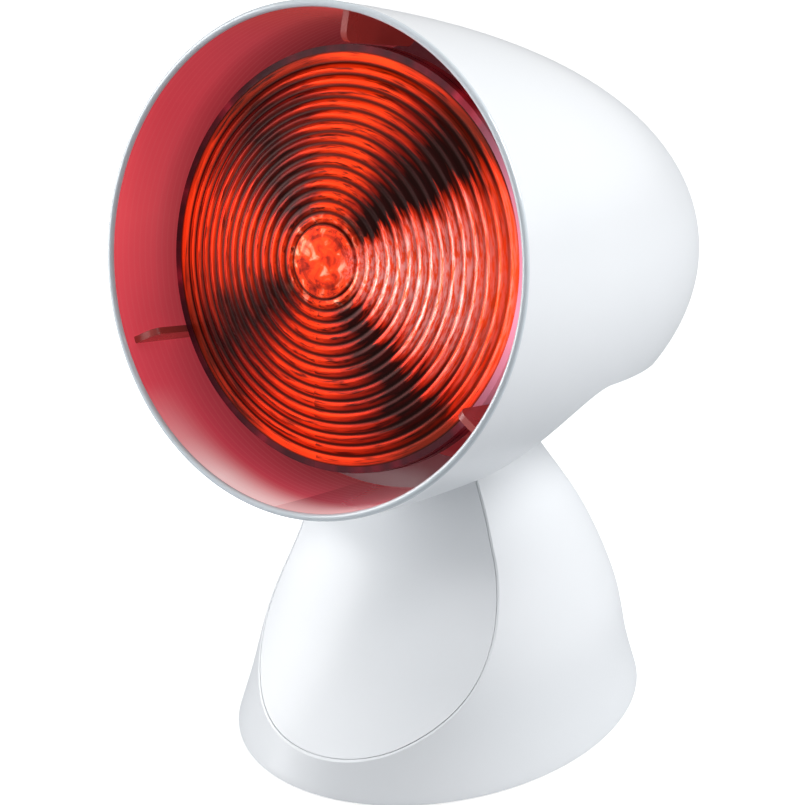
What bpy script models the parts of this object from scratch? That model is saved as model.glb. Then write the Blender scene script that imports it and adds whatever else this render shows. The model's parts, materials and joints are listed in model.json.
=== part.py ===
# Infrared heat therapy lamp: a bullet-shaped head that tilts on an oval foot.
# Metres, +Z up, the front faces -Y, symmetric about X = 0. The origin is on the table, under the middle.

import math

import bmesh
import bpy
from mathutils import Matrix, Vector

# Fits
touch = 0.0003
overrun = 0.004
pocket_side_play = 0.0004

# Head shell: a turned shell that tapers from the rim to a round back
rim_radius = 0.07175
head_length = 0.1835
head_wall = 0.0021
head_tilt = math.radians(13.6)
profile_shares = (2.1, -2.38, 3.08, -2.56, 0.76)
head_sides = 48
outer_steps = 17
inner_steps = 9
rib_count = 3
rib_thickness = 0.002
rib_start = 0.0045
rib_end = 0.038
rib_corner = 0.003
rib_play = 0.0005

# Cut-out under the head, where the foot stands
notch_start = 0.045
notch_run = 0.033
notch_roof_drop = 0.0278
notch_mouth_drop = 0.070
roof_fall = 0.0014
roof_wall = 0.0022
roof_rows = 13
roof_bend_rows = 8
roof_fall_rows = 10
roof_columns = 13

# Vent slots in the back of the head
vent_height = 0.003
vent_circle = 0.031
vent_depth = 0.032
vent_shares = (0.78, 0.55, 0.32, -0.32, -0.55)

# Tilt hinge, seen from the rim
pivot_depth = 0.084
pivot_drop = 0.046
pivot_rise = 0.0077
pivot_setback = 0.0019
pin_radius = 0.003
pin_play = 0.0003
knuckle_radius = 0.0135
knuckle_half_width = 0.0129
washer_radius = 0.009
washer_thickness = 0.0012
cheek_thickness = 0.0025
cheek_radius = 0.011
cheek_pocket_play = 0.001
bracket_front = 0.006
bracket_back = 0.020
bracket_screw_back = 0.0145
bracket_screw_side = 0.009
pin_head_radius = 0.0055
pin_head_height = 0.004
pin_end_length = 0.0012
nut_height = 0.005

# Reflector lamp
flange_clear = 0.01125
flange_radius = rim_radius - flange_clear
flange_depth = 0.018
flange_thickness = 0.0064
lens_step = 0.0038
lens_radius = flange_radius - lens_step
lens_rise = 0.009
lens_thickness = 0.004
lens_edge = 0.0027
ring_start = 0.0105
ring_pitch = 0.0032
ring_height = 0.0005
ring_count = int((lens_radius - ring_start) / ring_pitch)
mouth_step = 0.0035
mouth_radius = flange_radius - mouth_step
bowl_depth = 0.060
bowl_glass = 0.003
neck_radius = 0.0195
neck_end = 0.112
neck_shoulder = 0.004
lamp_air = 0.0025
cap_radius = 0.0132
cap_length = 0.022
contact_radius = 0.0045
contact_length = 0.0063

# Screws
screw_radius = 0.0016
screw_hole_radius = 0.0019
screw_head_radius = 0.003
screw_head_height = 0.0019
screw_bite = 0.007

# Lampholder and its bracket
holder_radius = 0.021
holder_length = 0.047
holder_play = 0.0006
holder_waist_radius = 0.0185
holder_foot_length = 0.012
strap_half_height = 0.009
strap_thickness = 0.0015
strap_screw_gap = 0.001
strap_screw_side = holder_waist_radius + screw_head_radius + strap_screw_gap
strap_end = 0.0035
strap_half_width = strap_screw_side + strap_end
strap_boss_radius = 0.004
lead_hole_radius = 0.004

# Foot: an oval body that narrows upwards
shell_gap = 0.001
body_height = 0.0935
pivot_height = shell_gap + body_height + pivot_rise
base_half_width = 0.0592
base_half_length = 0.0747
foot_wall = 0.0025
foot_edge = 0.0004
shoulder_round = 0.003
body_sides = 64
cavity_sides = 24
cavity_steps = 6
body_shares = (
    (0.0, 1.0, 1.0, 0.0),
    (0.15, 0.943, 0.928, 0.004),
    (0.374, 0.872, 0.838, 0.017),
    (0.642, 0.72, 0.673, 0.013),
    (0.909, 0.566, 0.513, -0.087),
    (1.0, 0.512, 0.462, -0.124),
)

# Front panel: a dished face let into the foot
panel_thickness = 0.0022
panel_lip = 0.0008
panel_edge_points = 18
panel_gap = 0.0003
panel_bow_radius = 0.075
panel_reach_side = 0.046
panel_row_power = 1.4
panel_columns = 12
panel_rows = 20
panel_reach = 0.06
panel_shares = (
    (0.06, -1.012),
    (0.107, -0.944),
    (0.139, -0.901),
    (0.171, -0.862),
    (0.235, -0.789),
    (0.299, -0.722),
    (0.364, -0.66),
    (0.428, -0.601),
    (0.492, -0.544),
    (0.556, -0.495),
    (0.62, -0.456),
    (0.684, -0.43),
    (0.749, -0.416),
    (0.845, -0.4),
    (0.973, -0.386),
    (1.06, -0.38),
)

# Base plate and pads
plate_recess = 0.002
plate_thickness = 0.002
pad_radius = 0.007
pad_side_inset = 0.0412
pad_front_inset = 0.0247
pad_side = base_half_width - pad_side_inset
pad_length = base_half_length - pad_front_inset
base_screw_side_inset = 0.0232
base_screw_front_inset = 0.0447
base_screw_side = base_half_width - base_screw_side_inset
base_screw_length = base_half_length - base_screw_front_inset
boss_radius = 0.0045
boss_height = 0.058

# Cable entry at the back
entry_height = 0.017
entry_bore = 0.0026
entry_radius = 0.005
entry_collar_radius = 0.0065
entry_collar_length = 0.003
entry_length = 0.012
entry_seat = 0.0015
entry_boss_radius = 0.009
entry_boss_length = 0.012

# Rocker switch at the back
switch_height = 0.040
bezel_width = 0.015
bezel_length = 0.021
bezel_thickness = 0.0017
bezel_recess = 0.0016
case_width = 0.013
case_length = 0.019
case_depth = 0.013
case_wall = 0.0008
rocker_depth = 0.002
rocker_half_length = 0.0079
rocker_half_width = 0.0054
rocker_rise = 0.0038
rocker_dip = 0.0012
rocker_root = 0.004
rocker_root_half_length = 0.0045
rocker_angle = math.radians(7)
trunnion_radius = 0.0011
trunnion_play = 0.0003
switch_pad_margin = 0.0035
switch_pad_depth = 0.003


def start():
    for thing in list(bpy.data.objects):
        bpy.data.objects.remove(thing, do_unlink=True)
    parts = bpy.data.collections.new("infrared_lamp")
    cutters = bpy.data.collections.new("cutters")
    for group in (parts, cutters):
        bpy.context.scene.collection.children.link(group)
    return parts, cutters


parts, cutters = start()


def material(name, colour, roughness, metallic=0.0):
    made = bpy.data.materials.new(name)
    made.use_nodes = True
    shader = made.node_tree.nodes["Principled BSDF"]
    shader.inputs["Base Color"].default_value = (*colour, 1.0)
    shader.inputs["Roughness"].default_value = roughness
    shader.inputs["Metallic"].default_value = metallic
    made.diffuse_color = (*colour, 1.0)
    return made


white = (0.86, 0.87, 0.88)
steel = (0.62, 0.62, 0.63)
black = (0.03, 0.03, 0.035)


def part(thing, colour, roughness, metallic=0.0):
    thing.data.materials.clear()
    thing.data.materials.append(material(thing.name, colour, roughness, metallic))
    parts.objects.link(thing)
    return thing


def cutter(thing):
    thing.display_type = "WIRE"
    thing.hide_render = True
    cutters.objects.link(thing)
    return thing


def boolean(thing, tool, operation):
    step = thing.modifiers.new(operation.lower() + " " + tool.name, "BOOLEAN")
    step.operation = operation
    step.solver = "EXACT"
    step.object = tool
    return thing


def cut(thing, tool):
    return boolean(thing, tool, "DIFFERENCE")


def join(thing, tool):
    return boolean(thing, tool, "UNION")


def keep(thing, tool):
    return boolean(thing, tool, "INTERSECT")


def from_bmesh(name, shape, smooth=True):
    bmesh.ops.recalc_face_normals(shape, faces=shape.faces)
    mesh = bpy.data.meshes.new(name)
    shape.to_mesh(mesh)
    shape.free()
    if smooth:
        mesh.shade_smooth()
        mesh.set_sharp_from_angle(angle=math.radians(35))
    return bpy.data.objects.new(name, mesh)


def box(name, size, centre):
    shape = bmesh.new()
    bmesh.ops.create_cube(shape, size=1.0, matrix=Matrix.Translation(centre) @ Matrix.Diagonal((*size, 1.0)))
    return from_bmesh(name, shape, smooth=False)


def cylinder(name, radius, length, centre, axis="Z", sides=20):
    turn = {"X": Matrix.Rotation(math.pi / 2, 4, "Y"), "Y": Matrix.Rotation(math.pi / 2, 4, "X"), "Z": Matrix()}
    shape = bmesh.new()
    bmesh.ops.create_cone(shape, cap_ends=True, segments=sides, radius1=radius, radius2=radius, depth=length,
                          matrix=Matrix.Translation(centre) @ turn[axis])
    return from_bmesh(name, shape)


def turned(name, profile, sides, closed=False):
    """Turn (radius, height) points about Z; the outer side runs down."""
    mesh = bpy.data.meshes.new(name)
    count = len(profile)
    edges = [(i, i + 1) for i in range(count - 1)]
    if closed:
        edges.append((count - 1, 0))
    mesh.from_pydata([(r, 0, h) for r, h in profile], edges, [])
    thing = bpy.data.objects.new(name, mesh)
    step = thing.modifiers.new("turn", "SCREW")
    step.axis = "Z"
    step.steps = sides
    step.render_steps = sides
    step.use_merge_vertices = True
    step.merge_threshold = 0.00001
    return thing


def plate(name, outline, thickness, lie, offset=0.0):
    """A flat outline with a thickness, laid by the matrix lie."""
    curve = bpy.data.curves.new(name, "CURVE")
    curve.dimensions = "2D"
    curve.fill_mode = "BOTH"
    curve.extrude = thickness / 2
    spline = curve.splines.new("POLY")
    spline.points.add(len(outline) - 1)
    for point, (a, b) in zip(spline.points, outline):
        point.co = (a, b, 0, 1)
    spline.use_cyclic_u = True
    flat = bpy.data.objects.new(name + " outline", curve)
    bpy.context.scene.collection.objects.link(flat)
    bpy.context.view_layer.update()
    mesh = bpy.data.meshes.new_from_object(flat.evaluated_get(bpy.context.evaluated_depsgraph_get()))
    bpy.data.objects.remove(flat, do_unlink=True)
    shape = bmesh.new()
    shape.from_mesh(mesh)
    bmesh.ops.remove_doubles(shape, verts=shape.verts, dist=0.00001)
    bmesh.ops.transform(shape, matrix=lie @ Matrix.Translation((0, 0, offset)), verts=shape.verts)
    return from_bmesh(name, shape)


# Outlines drawn as (depth behind the rim, height above the axis) stand across X
across_head = Matrix(((0, 0, 1, 0), (0, 1, 0, 0), (-1, 0, 0, 0), (0, 0, 0, 1)))
# Outlines drawn as (Y, Z) stand across X
across_foot = Matrix(((0, 0, 1, 0), (1, 0, 0, 0), (0, 1, 0, 0), (0, 0, 0, 1)))


def arc(centre, radius, start_angle, end_angle, steps):
    return [(centre[0] + radius * math.cos(start_angle + (end_angle - start_angle) * i / steps),
             centre[1] + radius * math.sin(start_angle + (end_angle - start_angle) * i / steps))
            for i in range(steps + 1)]


def smooth_share(table, at, column):
    """Read a column of a share table along a smooth curve through its rows."""
    rows = [(row[0], row[column]) for row in table]
    last = len(rows) - 1
    i = 0
    while i < last - 1 and at > rows[i + 1][0]:
        i += 1

    def slope(k):
        low, high = rows[max(k - 1, 0)], rows[min(k + 1, last)]
        return (high[1] - low[1]) / (high[0] - low[0])

    span = rows[i + 1][0] - rows[i][0]
    t = (at - rows[i][0]) / span
    if t < 0:
        return rows[i][1] + slope(0) * (at - rows[i][0])
    if t > 1:
        return rows[i + 1][1] + slope(last) * (at - rows[i + 1][0])
    return ((1 + 2 * t) * (1 - t) ** 2 * rows[i][1] + t * (1 - t) ** 2 * span * slope(i)
            + t * t * (3 - 2 * t) * rows[i + 1][1] + t * t * (t - 1) * span * slope(i + 1))


def loft(name, rings, sides):
    """Skin a stack of ovals given as (height, half width, half length, centre Y)."""
    shape = bmesh.new()
    loops = []
    for height, half_width, half_length, centre in rings:
        loops.append([shape.verts.new((half_width * math.sin(2 * math.pi * i / sides),
                                       centre - half_length * math.cos(2 * math.pi * i / sides), height))
                      for i in range(sides)])
    for low, high in zip(loops, loops[1:]):
        for i in range(sides):
            j = (i + 1) % sides
            shape.faces.new((low[i], low[j], high[j], high[i]))
    shape.faces.new(reversed(loops[0]))
    shape.faces.new(loops[-1])
    return from_bmesh(name, shape)


def sheet(shape, point, across, along):
    """A grid whose corners lie at point(u, v), u and v from 0 to 1."""
    bmesh.ops.create_grid(shape, x_segments=across, y_segments=along, size=1.0)
    for vert in shape.verts:
        vert.co = point((vert.co.x + 1) / 2, (vert.co.y + 1) / 2)


def thick_sheet(name, point, across, along, reach):
    shape = bmesh.new()
    sheet(shape, point, across, along)
    grown = bmesh.ops.extrude_face_region(shape, geom=shape.faces[:])
    moved = [item for item in grown["geom"] if isinstance(item, bmesh.types.BMVert)]
    bmesh.ops.translate(shape, verts=moved, vec=reach)
    return from_bmesh(name, shape)


# Head profile

def head_radius(depth):
    w = math.sqrt(max(0.0, 1 - depth / head_length))
    return rim_radius * sum(share * w ** (power + 1) for power, share in enumerate(profile_shares))


def head_curve(inset, steps=outer_steps):
    """Points (radius, depth) from the rim to the tip, moved inwards by inset."""
    points = []
    for i in range(steps + 1):
        depth = head_length * math.sin(math.pi / 2 * i / steps)
        radius = head_radius(depth)
        nudge = head_length / 1000
        before, after = max(0.0, depth - nudge), min(head_length, depth + nudge)
        along = Vector((head_radius(after) - head_radius(before), after - before)).normalized()
        points.append((radius - inset * along.y, depth + inset * along.x))
    if inset:
        points[0] = (points[0][0], 0.0)
    points[-1] = (0.0, head_length - inset)
    return [p for i, p in enumerate(points) if i in (0, steps) or p[0] > inset / 2 + head_wall / 2]


def head_solid(name, inset, steps=outer_steps):
    profile = [(0.0, 0.0)] + [(r, -d) for r, d in head_curve(inset, steps)]
    return turned(name, profile, head_sides)


curve = head_curve(0.0)
rim_ahead = pivot_depth * math.cos(head_tilt) - pivot_drop * math.sin(head_tilt)
head_back = max(d * math.cos(head_tilt) + r * math.sin(head_tilt) for r, d in curve) - rim_ahead
head_front = min(d * math.cos(head_tilt) - r * math.sin(head_tilt) for r, d in curve) - rim_ahead
pivot_y = -(head_back + head_front) / 2
base_y = pivot_y - pivot_setback

foot_place = Vector((0, base_y, 0))
rim_place = Vector((0, pivot_drop, pivot_depth))

hinge = bpy.data.objects.new("tilt_hinge", None)
hinge.empty_display_size = cheek_radius
hinge.location = (0, pivot_y, pivot_height)
hinge.rotation_euler = (math.pi / 2 - head_tilt, 0, 0)
parts.objects.link(hinge)


def on_foot(thing, at=(0, 0, 0)):
    thing.location = foot_place + Vector(at)
    return thing


def in_head(thing, at=(0, 0, 0)):
    """Head pieces are drawn from the rim's centre: X, height above the axis, minus the depth."""
    thing.parent = hinge
    thing.location = rim_place + Vector(at)
    return thing


# Lamp

def bowl_inner(depth):
    return mouth_radius * math.sqrt(max(0.0, 1 - (depth - flange_depth - lens_edge - touch) / bowl_depth))


def lamp_radius(depth):
    return max(bowl_inner(depth) + bowl_glass, neck_radius)


def lens_front(radius):
    return flange_depth - lens_rise * (1 - (radius / lens_radius) ** 2)


def make_lamp():
    front = [(0.0, -lens_front(0.0))]
    for ring in range(ring_count):
        valley = ring_start + ring * ring_pitch
        crest = valley + ring_pitch / 2
        front.append((valley, -lens_front(valley) - ring_height))
        front.append((crest, -lens_front(crest)))
    last = ring_start + ring_count * ring_pitch
    front.append((last, -lens_front(last) - ring_height))
    front.append((lens_radius, -flange_depth))
    front.append((flange_radius, -flange_depth))
    front.append((flange_radius, -flange_depth - lens_edge))
    back = [(share * mouth_radius, -lens_front(share * mouth_radius) - lens_thickness)
            for share in (0.75, 0.5, 0.25, 0.0)]
    rim_inside = (mouth_radius * 0.95, -flange_depth - lens_edge)
    lens = turned("lamp_lens", front + [rim_inside] + back, 28)
    part(in_head(lens), (0.75, 0.10, 0.02), 0.12)

    seat = flange_depth + lens_edge + touch
    inner = [(bowl_inner(seat + bowl_depth * share), -seat - bowl_depth * share)
             for share in (1.0, 0.97, 0.88, 0.74, 0.56, 0.36, 0.17, 0.0)]
    flange_back = flange_depth + flange_thickness
    waist = [flange_back + (bowl_depth - flange_thickness) * share for share in (0.12, 0.3, 0.5, 0.7, 0.86)]
    outer = [(flange_radius, -seat), (flange_radius, -flange_back)]
    outer += [(lamp_radius(depth), -depth) for depth in waist]
    outer += [(neck_radius, -seat - bowl_depth), (neck_radius, -neck_end + neck_shoulder),
              (cap_radius, -neck_end), (0.0, -neck_end)]
    reflector = turned("lamp_reflector", inner + outer, 28)
    part(in_head(reflector), (0.55, 0.03, 0.05), 0.15, 0.3)

    top = neck_end + touch
    end = top + cap_length
    cap = turned("lamp_cap", [(0.0, -top), (cap_radius, -top), (cap_radius, -end),
                              (contact_radius, -end - contact_length / 2),
                              (contact_radius, -end - contact_length), (0.0, -end - contact_length)], 32)
    part(in_head(cap), (0.72, 0.68, 0.55), 0.3, 1.0)
    return end + contact_length


def make_holder(cap_end):
    front = neck_end + touch + holder_play
    back = front + holder_length
    floor = cap_end + touch
    bore = cap_radius + holder_play
    holder = turned("lampholder", [(0.0, -floor), (bore, -floor), (bore, -front),
                                   (holder_radius, -front), (holder_radius, -back + holder_foot_length),
                                   (holder_waist_radius, -back + holder_foot_length),
                                   (holder_waist_radius, -back), (0.0, -back)], 28)
    part(in_head(holder), (0.80, 0.78, 0.72), 0.5)

    strap_at = back + touch
    strap_back = strap_at + strap_thickness
    strap = box("holder_bracket", (2 * strap_half_width, 2 * strap_half_height, strap_thickness),
                (0, 0, -(strap_at + strap_back) / 2))
    for side in (-1, 1):
        name = "left" if side < 0 else "right"
        place = (side * strap_screw_side, 0, -strap_back)
        cut(strap, cutter(in_head(cylinder("strap hole " + name, screw_hole_radius, 2 * overrun, place, sides=20))))
        fixing = in_head(screw("holder_screw_" + name, -1), (*place[:2], -strap_at + touch))
        part(fixing, steel, 0.3, 1.0)
    cut(strap, cutter(in_head(cylinder("lead hole", lead_hole_radius, 2 * overrun, (0, 0, -strap_back), sides=24))))
    part(in_head(strap), steel, 0.35, 1.0)
    return strap_back + touch


def screw(name, direction, sides=10):
    """A pan-head screw along Z whose head rests at zero and whose shank points along direction."""
    s = -direction
    profile = [(0.0, s * screw_head_height), (screw_head_radius * 0.7, s * screw_head_height),
               (screw_head_radius, s * screw_head_height * 0.55), (screw_head_radius, 0.0), (screw_radius, 0.0),
               (screw_radius, -s * screw_bite), (0.0, -s * screw_bite)]
    return turned(name, profile if s > 0 else list(reversed(profile)), sides)


def head_shell(strap_seat):
    outside = [(r, -d) for r, d in head_curve(0.0)]
    inside = [(r, -d) for r, d in head_curve(head_wall, inner_steps)]
    bead = head_wall / 2
    rim = arc((rim_radius - bead, -bead), bead, math.pi, 0, 4)
    inside = [p for p in inside if p[1] < -2 * bead]
    outside = [p for p in outside if p[1] < -2 * bead]
    shell = turned("head_shell", list(reversed(inside)) + rim + outside, head_sides)
    limit = cutter(in_head(head_solid("head limit", head_wall / 2)))

    reach = rim_radius + overrun
    inner = flange_radius + rib_play
    for rib in range(rib_count):
        outline = [(rib_start + rib_corner, inner), (rib_end, inner), (rib_end, reach), (rib_start, reach),
                   (rib_start, inner + rib_corner)]
        turn = Matrix.Rotation(2 * math.pi * rib / rib_count, 4, "Z")
        blade = plate("rib %d" % rib, outline, rib_thickness, turn @ across_head)
        join(shell, cutter(in_head(keep(blade, limit))))

    for side in (-1, 1):
        length = head_length - strap_seat
        centre = (side * strap_screw_side, 0, -strap_seat - length / 2)
        boss = cylinder("strap boss %d" % side, strap_boss_radius, length, centre, sides=24)
        join(shell, cutter(in_head(keep(boss, limit))))
        bite = 2 * screw_bite
        hole = cylinder("strap bore %d" % side, screw_hole_radius, bite, (centre[0], 0, -strap_seat), sides=20)
        cut(shell, cutter(in_head(hole)))

    for count, share in enumerate(vent_shares):
        height = share * vent_circle
        half = math.sqrt(vent_circle ** 2 - height ** 2)
        slot = box("vent %d" % count, (2 * half, vent_height, vent_depth), (0, height, -head_length))
        cut(shell, cutter(in_head(slot)))

    notch_end = notch_start + notch_run
    below = rim_radius + overrun
    rise = notch_mouth_drop - notch_roof_drop
    corner = [(notch_end - notch_run * math.cos(a), rise * math.sin(a) - notch_mouth_drop)
              for a in (math.pi / 2 * i / 12 for i in range(13))]
    back = notch_path(1.0)
    flat_end = notch_path(roof_fall_rows / roof_rows)
    far = back[0] + (back[0] - flat_end[0])
    outline = [(notch_start, -below)] + corner + [flat_end, (far, 2 * back[1] - flat_end[1]), (far, -below)]
    cut(shell, cutter(in_head(plate("notch", outline, 2 * below, across_head))))
    part(in_head(shell), white, 0.25)


def notch_path(share):
    """Depth and height of the roof of the cut-out, from its mouth to the back of the head."""
    bend = roof_bend_rows / roof_rows
    if share < bend:
        angle = math.pi / 2 * share / bend
        rise = notch_mouth_drop - notch_roof_drop
        return (notch_start + notch_run * (1 - math.cos(angle)), rise * math.sin(angle) - notch_mouth_drop)
    end = notch_start + notch_run
    fall = max(0.0, (share * roof_rows - roof_fall_rows) / (roof_rows - roof_fall_rows))
    return (end + (head_length - end) * (share - bend) / (1 - bend), -notch_roof_drop - roof_fall * fall)


def roof_point(u, v):
    x = (2 * u - 1) * rim_radius
    depth, height = notch_path(v)
    clear = lamp_radius(depth - roof_wall) + lamp_air + roof_wall
    if abs(x) < clear:
        height = min(height, -math.sqrt(clear ** 2 - x ** 2))
    return Vector((x, height, -depth))


def make_roof():
    shape = bmesh.new()
    sheet(shape, roof_point, roof_columns, roof_rows)
    roof = from_bmesh("underside_cover", shape)
    if sum(face.normal.y for face in roof.data.polygons) > 0:
        roof.data.flip_normals()
    step = roof.modifiers.new("wall", "SOLIDIFY")
    step.thickness = roof_wall
    step.offset = -1.0
    keep(roof, cutter(in_head(head_solid("roof limit", head_wall + touch, inner_steps))))
    for side in (-1, 1):
        place = (side * bracket_screw_side, -notch_roof_drop, -pivot_depth - bracket_screw_back)
        cut(roof, cutter(in_head(cylinder("roof hole %d" % side, screw_hole_radius, 2 * overrun, place, "Y", 20))))
    part(in_head(roof), white, 0.3)


def make_bracket():
    top = -notch_roof_drop - touch
    under = top - cheek_thickness
    inner = knuckle_half_width + 2 * touch + washer_thickness
    outer = inner + cheek_thickness
    front, back = pivot_depth - bracket_front, pivot_depth + bracket_back
    web = box("tilt_bracket", (2 * outer, cheek_thickness, back - front),
              (0, (top + under) / 2, -(front + back) / 2))
    tip = arc((pivot_depth, -pivot_drop), cheek_radius, 0, -math.pi, 10)
    outline = tip + [(pivot_depth - cheek_radius, top - cheek_thickness), (front, top), (pivot_depth, top),
                     (pivot_depth + cheek_radius, top)]
    for side in (-1, 1):
        cheek = plate("cheek %d" % side, outline, cheek_thickness, across_head, side * (inner + outer) / 2)
        join(web, cutter(in_head(cheek)))
        x = side * bracket_screw_side
        depth = pivot_depth + bracket_screw_back
        hole = cylinder("bracket hole %d" % side, screw_hole_radius, 2 * overrun, (x, top, -depth), "Y", 20)
        cut(web, cutter(in_head(hole)))
        name = "bracket_screw_" + ("left" if side < 0 else "right")
        fixing = in_head(screw(name, -1), (x, under - touch, -depth))
        fixing.rotation_euler = (math.pi / 2, 0, 0)
        part(fixing, steel, 0.3, 1.0)
    bore = cylinder("bracket bore", pin_radius + pin_play, 2 * (outer + nut_height + overrun),
                    (0, -pivot_drop, -pivot_depth), "X")
    cut(web, cutter(in_head(bore)))
    part(in_head(web), steel, 0.35, 1.0)

    for side in (-1, 1):
        x = side * (knuckle_half_width + touch + washer_thickness / 2)
        washer = cylinder("friction_washer_" + ("left" if side < 0 else "right"), washer_radius, washer_thickness,
                          (x, -pivot_drop, -pivot_depth), "X")
        part(in_head(cut(washer, bore)), (0.15, 0.15, 0.16), 0.6)

    face = outer + touch
    stop = outer + touch + nut_height + pin_end_length
    shank = cylinder("pivot_pin", pin_radius, stop + face + overrun / 8,
                     ((stop - face) / 2, -pivot_drop, -pivot_depth), "X", 24)
    head = cylinder("pin head", pin_head_radius, pin_head_height,
                    (-face - pin_head_height / 2, -pivot_drop, -pivot_depth), "X", 6)
    join(shank, cutter(in_head(head)))
    part(in_head(shank), steel, 0.25, 1.0)
    nut = cylinder("pivot_nut", pin_head_radius, nut_height,
                   (face + nut_height / 2, -pivot_drop, -pivot_depth), "X", 6)
    part(in_head(cut(nut, bore)), steel, 0.3, 1.0)


# Foot

def body_ring(height, inset):
    share = height / body_height
    return (shell_gap + height,
            base_half_width * smooth_share(body_shares, share, 1) - inset,
            base_half_length * smooth_share(body_shares, share, 2) - inset,
            base_half_length * smooth_share(body_shares, share, 3))


def body(name, inset, low, high, sides, edge=0.0, shoulder=0.0, steps=11):
    rings = [body_ring(low, inset + edge)] if edge else []
    first, last = low + edge, high - shoulder
    rings += [body_ring(first + (last - first) * i / steps, inset) for i in range(steps + 1)]
    for i in range(1, 4) if shoulder else ():
        angle = math.pi / 2 * i / 3
        rings.append(body_ring(last + shoulder * math.sin(angle), inset + shoulder * (1 - math.cos(angle))))
    return loft(name, rings, sides)


def panel_point(u, v, setback):
    x = (2 * u - 1) * panel_reach_side
    low, high = panel_shares[0][0], panel_shares[-1][0]
    share = low + (high - low) * v ** panel_row_power
    y = base_half_length * smooth_share(panel_shares, share, 1) + x * x / (2 * panel_bow_radius)
    return Vector((x, y + setback, shell_gap + share * body_height))


def panel_slab(name, setback, depth):
    return thick_sheet(name, lambda u, v: panel_point(u, v, setback), panel_columns, panel_rows, (0, depth, 0))


def before_panel(name, setback):
    """Everything in front of the panel's face, moved back by setback."""
    return cutter(on_foot(panel_slab(name, setback, -panel_reach)))


def panel_edge(share):
    """Half the width of the panel at a share of the body's height, where its face meets the body."""
    _, half_width, half_length, centre = body_ring(share * body_height, 0.0)
    middle = base_half_length * smooth_share(panel_shares, share, 1)
    low, high = 0.0, half_width
    if middle < centre - half_length:
        return 0.0
    for _ in range(24):
        x = (low + high) / 2
        front = centre - half_length * math.sqrt(1 - (x / half_width) ** 2)
        if middle + x * x / (2 * panel_bow_radius) > front:
            low = x
        else:
            high = x
    return low


def panel_prism(name, inset):
    """The panel's outline, seen from the front, as a block that runs back through the body."""
    low, high = panel_shares[0][0], 1 - shoulder_round / body_height
    foot_of_edge = low
    while panel_edge(foot_of_edge) == 0.0:
        foot_of_edge += (high - low) / 1000
    side = []
    for i in range(panel_edge_points + 1):
        share = foot_of_edge + (high - foot_of_edge) * (1 - math.cos(math.pi / 2 * i / panel_edge_points))
        side.append((panel_edge(share), shell_gap + share * body_height))
    side[0] = (0.0, side[0][1])
    moved = [(0.0, side[0][1] + inset)]
    for before, here, after in zip(side, side[1:], side[2:]):
        along = Vector((after[0] - before[0], after[1] - before[1])).normalized()
        moved.append((here[0] - inset * along.y, here[1] + inset * along.x))
    moved.append((moved[-1][0] + side[-1][0] - side[-2][0], side[-1][1] - max(0.0, inset - panel_lip)))
    outline = moved + [(-x, z) for x, z in reversed(moved[1:])]
    lie = Matrix(((1, 0, 0, 0), (0, 0, 1, 0), (0, 1, 0, 0), (0, 0, 0, 1)))
    return cutter(on_foot(plate(name, outline, 2 * base_half_length + overrun, lie, -base_half_length)))


def rear_y(height):
    ring = body_ring(height, 0.0)
    return ring[3] + ring[2]


def make_foot():
    shell = body("foot_shell", 0.0, 0.0, body_height, body_sides, foot_edge, shoulder_round)
    cut(shell, before_panel("front cut", 0.0))
    pocket = panel_slab("panel pocket", panel_thickness + panel_gap, -panel_reach)
    cut(shell, cutter(on_foot(keep(pocket, panel_prism("pocket outline", panel_lip)))))
    panel = panel_slab("front_panel", 0.0, panel_thickness)
    part(on_foot(keep(panel, panel_prism("panel outline", panel_lip + panel_gap))), white, 0.3)

    hollow = body("foot hollow", foot_wall, -overrun, body_height - foot_wall - shoulder_round, cavity_sides,
                  steps=cavity_steps)
    cut(hollow, before_panel("hollow front", panel_thickness + panel_gap + foot_wall))
    cut(shell, cutter(on_foot(hollow)))

    y = pivot_setback
    low = body_height - shoulder_round - foot_wall
    knuckle = cylinder("knuckle", knuckle_radius, 2 * knuckle_half_width, (0, y, pivot_height), "X", 32)
    neck = box("neck", (2 * knuckle_half_width, 2 * knuckle_radius, pivot_height - low),
               (0, y, (pivot_height + low) / 2))
    join(shell, cutter(on_foot(neck)))
    join(shell, cutter(on_foot(knuckle)))
    outer = knuckle_half_width + 2 * touch + washer_thickness + cheek_thickness + pin_head_height + overrun
    for side in (-1, 1):
        middle = side * (knuckle_half_width + outer) / 2
        pocket = cylinder("cheek pocket %d" % side, cheek_radius + cheek_pocket_play, outer - knuckle_half_width,
                          (middle, y, pivot_height), "X", 24)
        cut(shell, cutter(on_foot(pocket)))
    bore = cylinder("knuckle bore", pin_radius + pin_play, 2 * (knuckle_half_width + overrun),
                    (0, y, pivot_height), "X", 24)
    cut(shell, cutter(on_foot(bore)))

    ceiling = shell_gap + plate_recess + plate_thickness + touch
    hold = body("boss limit", foot_wall / 2, 0.0, body_height, cavity_sides)
    cut(hold, before_panel("boss front", panel_thickness + panel_gap + foot_wall / 2))
    cutter(on_foot(hold))
    for place in screw_places():
        name = "%d %d" % (math.copysign(1, place[0]), math.copysign(1, place[1]))
        boss = cylinder("boss " + name, boss_radius, boss_height, (*place, ceiling + boss_height / 2), sides=20)
        join(shell, cutter(on_foot(keep(boss, hold))))
        drill = cylinder("boss bore " + name, screw_hole_radius, 2 * screw_bite, (*place, ceiling), sides=16)
        cut(shell, cutter(on_foot(drill)))
    return shell


def screw_places():
    return [(x * base_screw_side, y * base_screw_length) for x in (-1, 1) for y in (-1, 1)]


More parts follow.
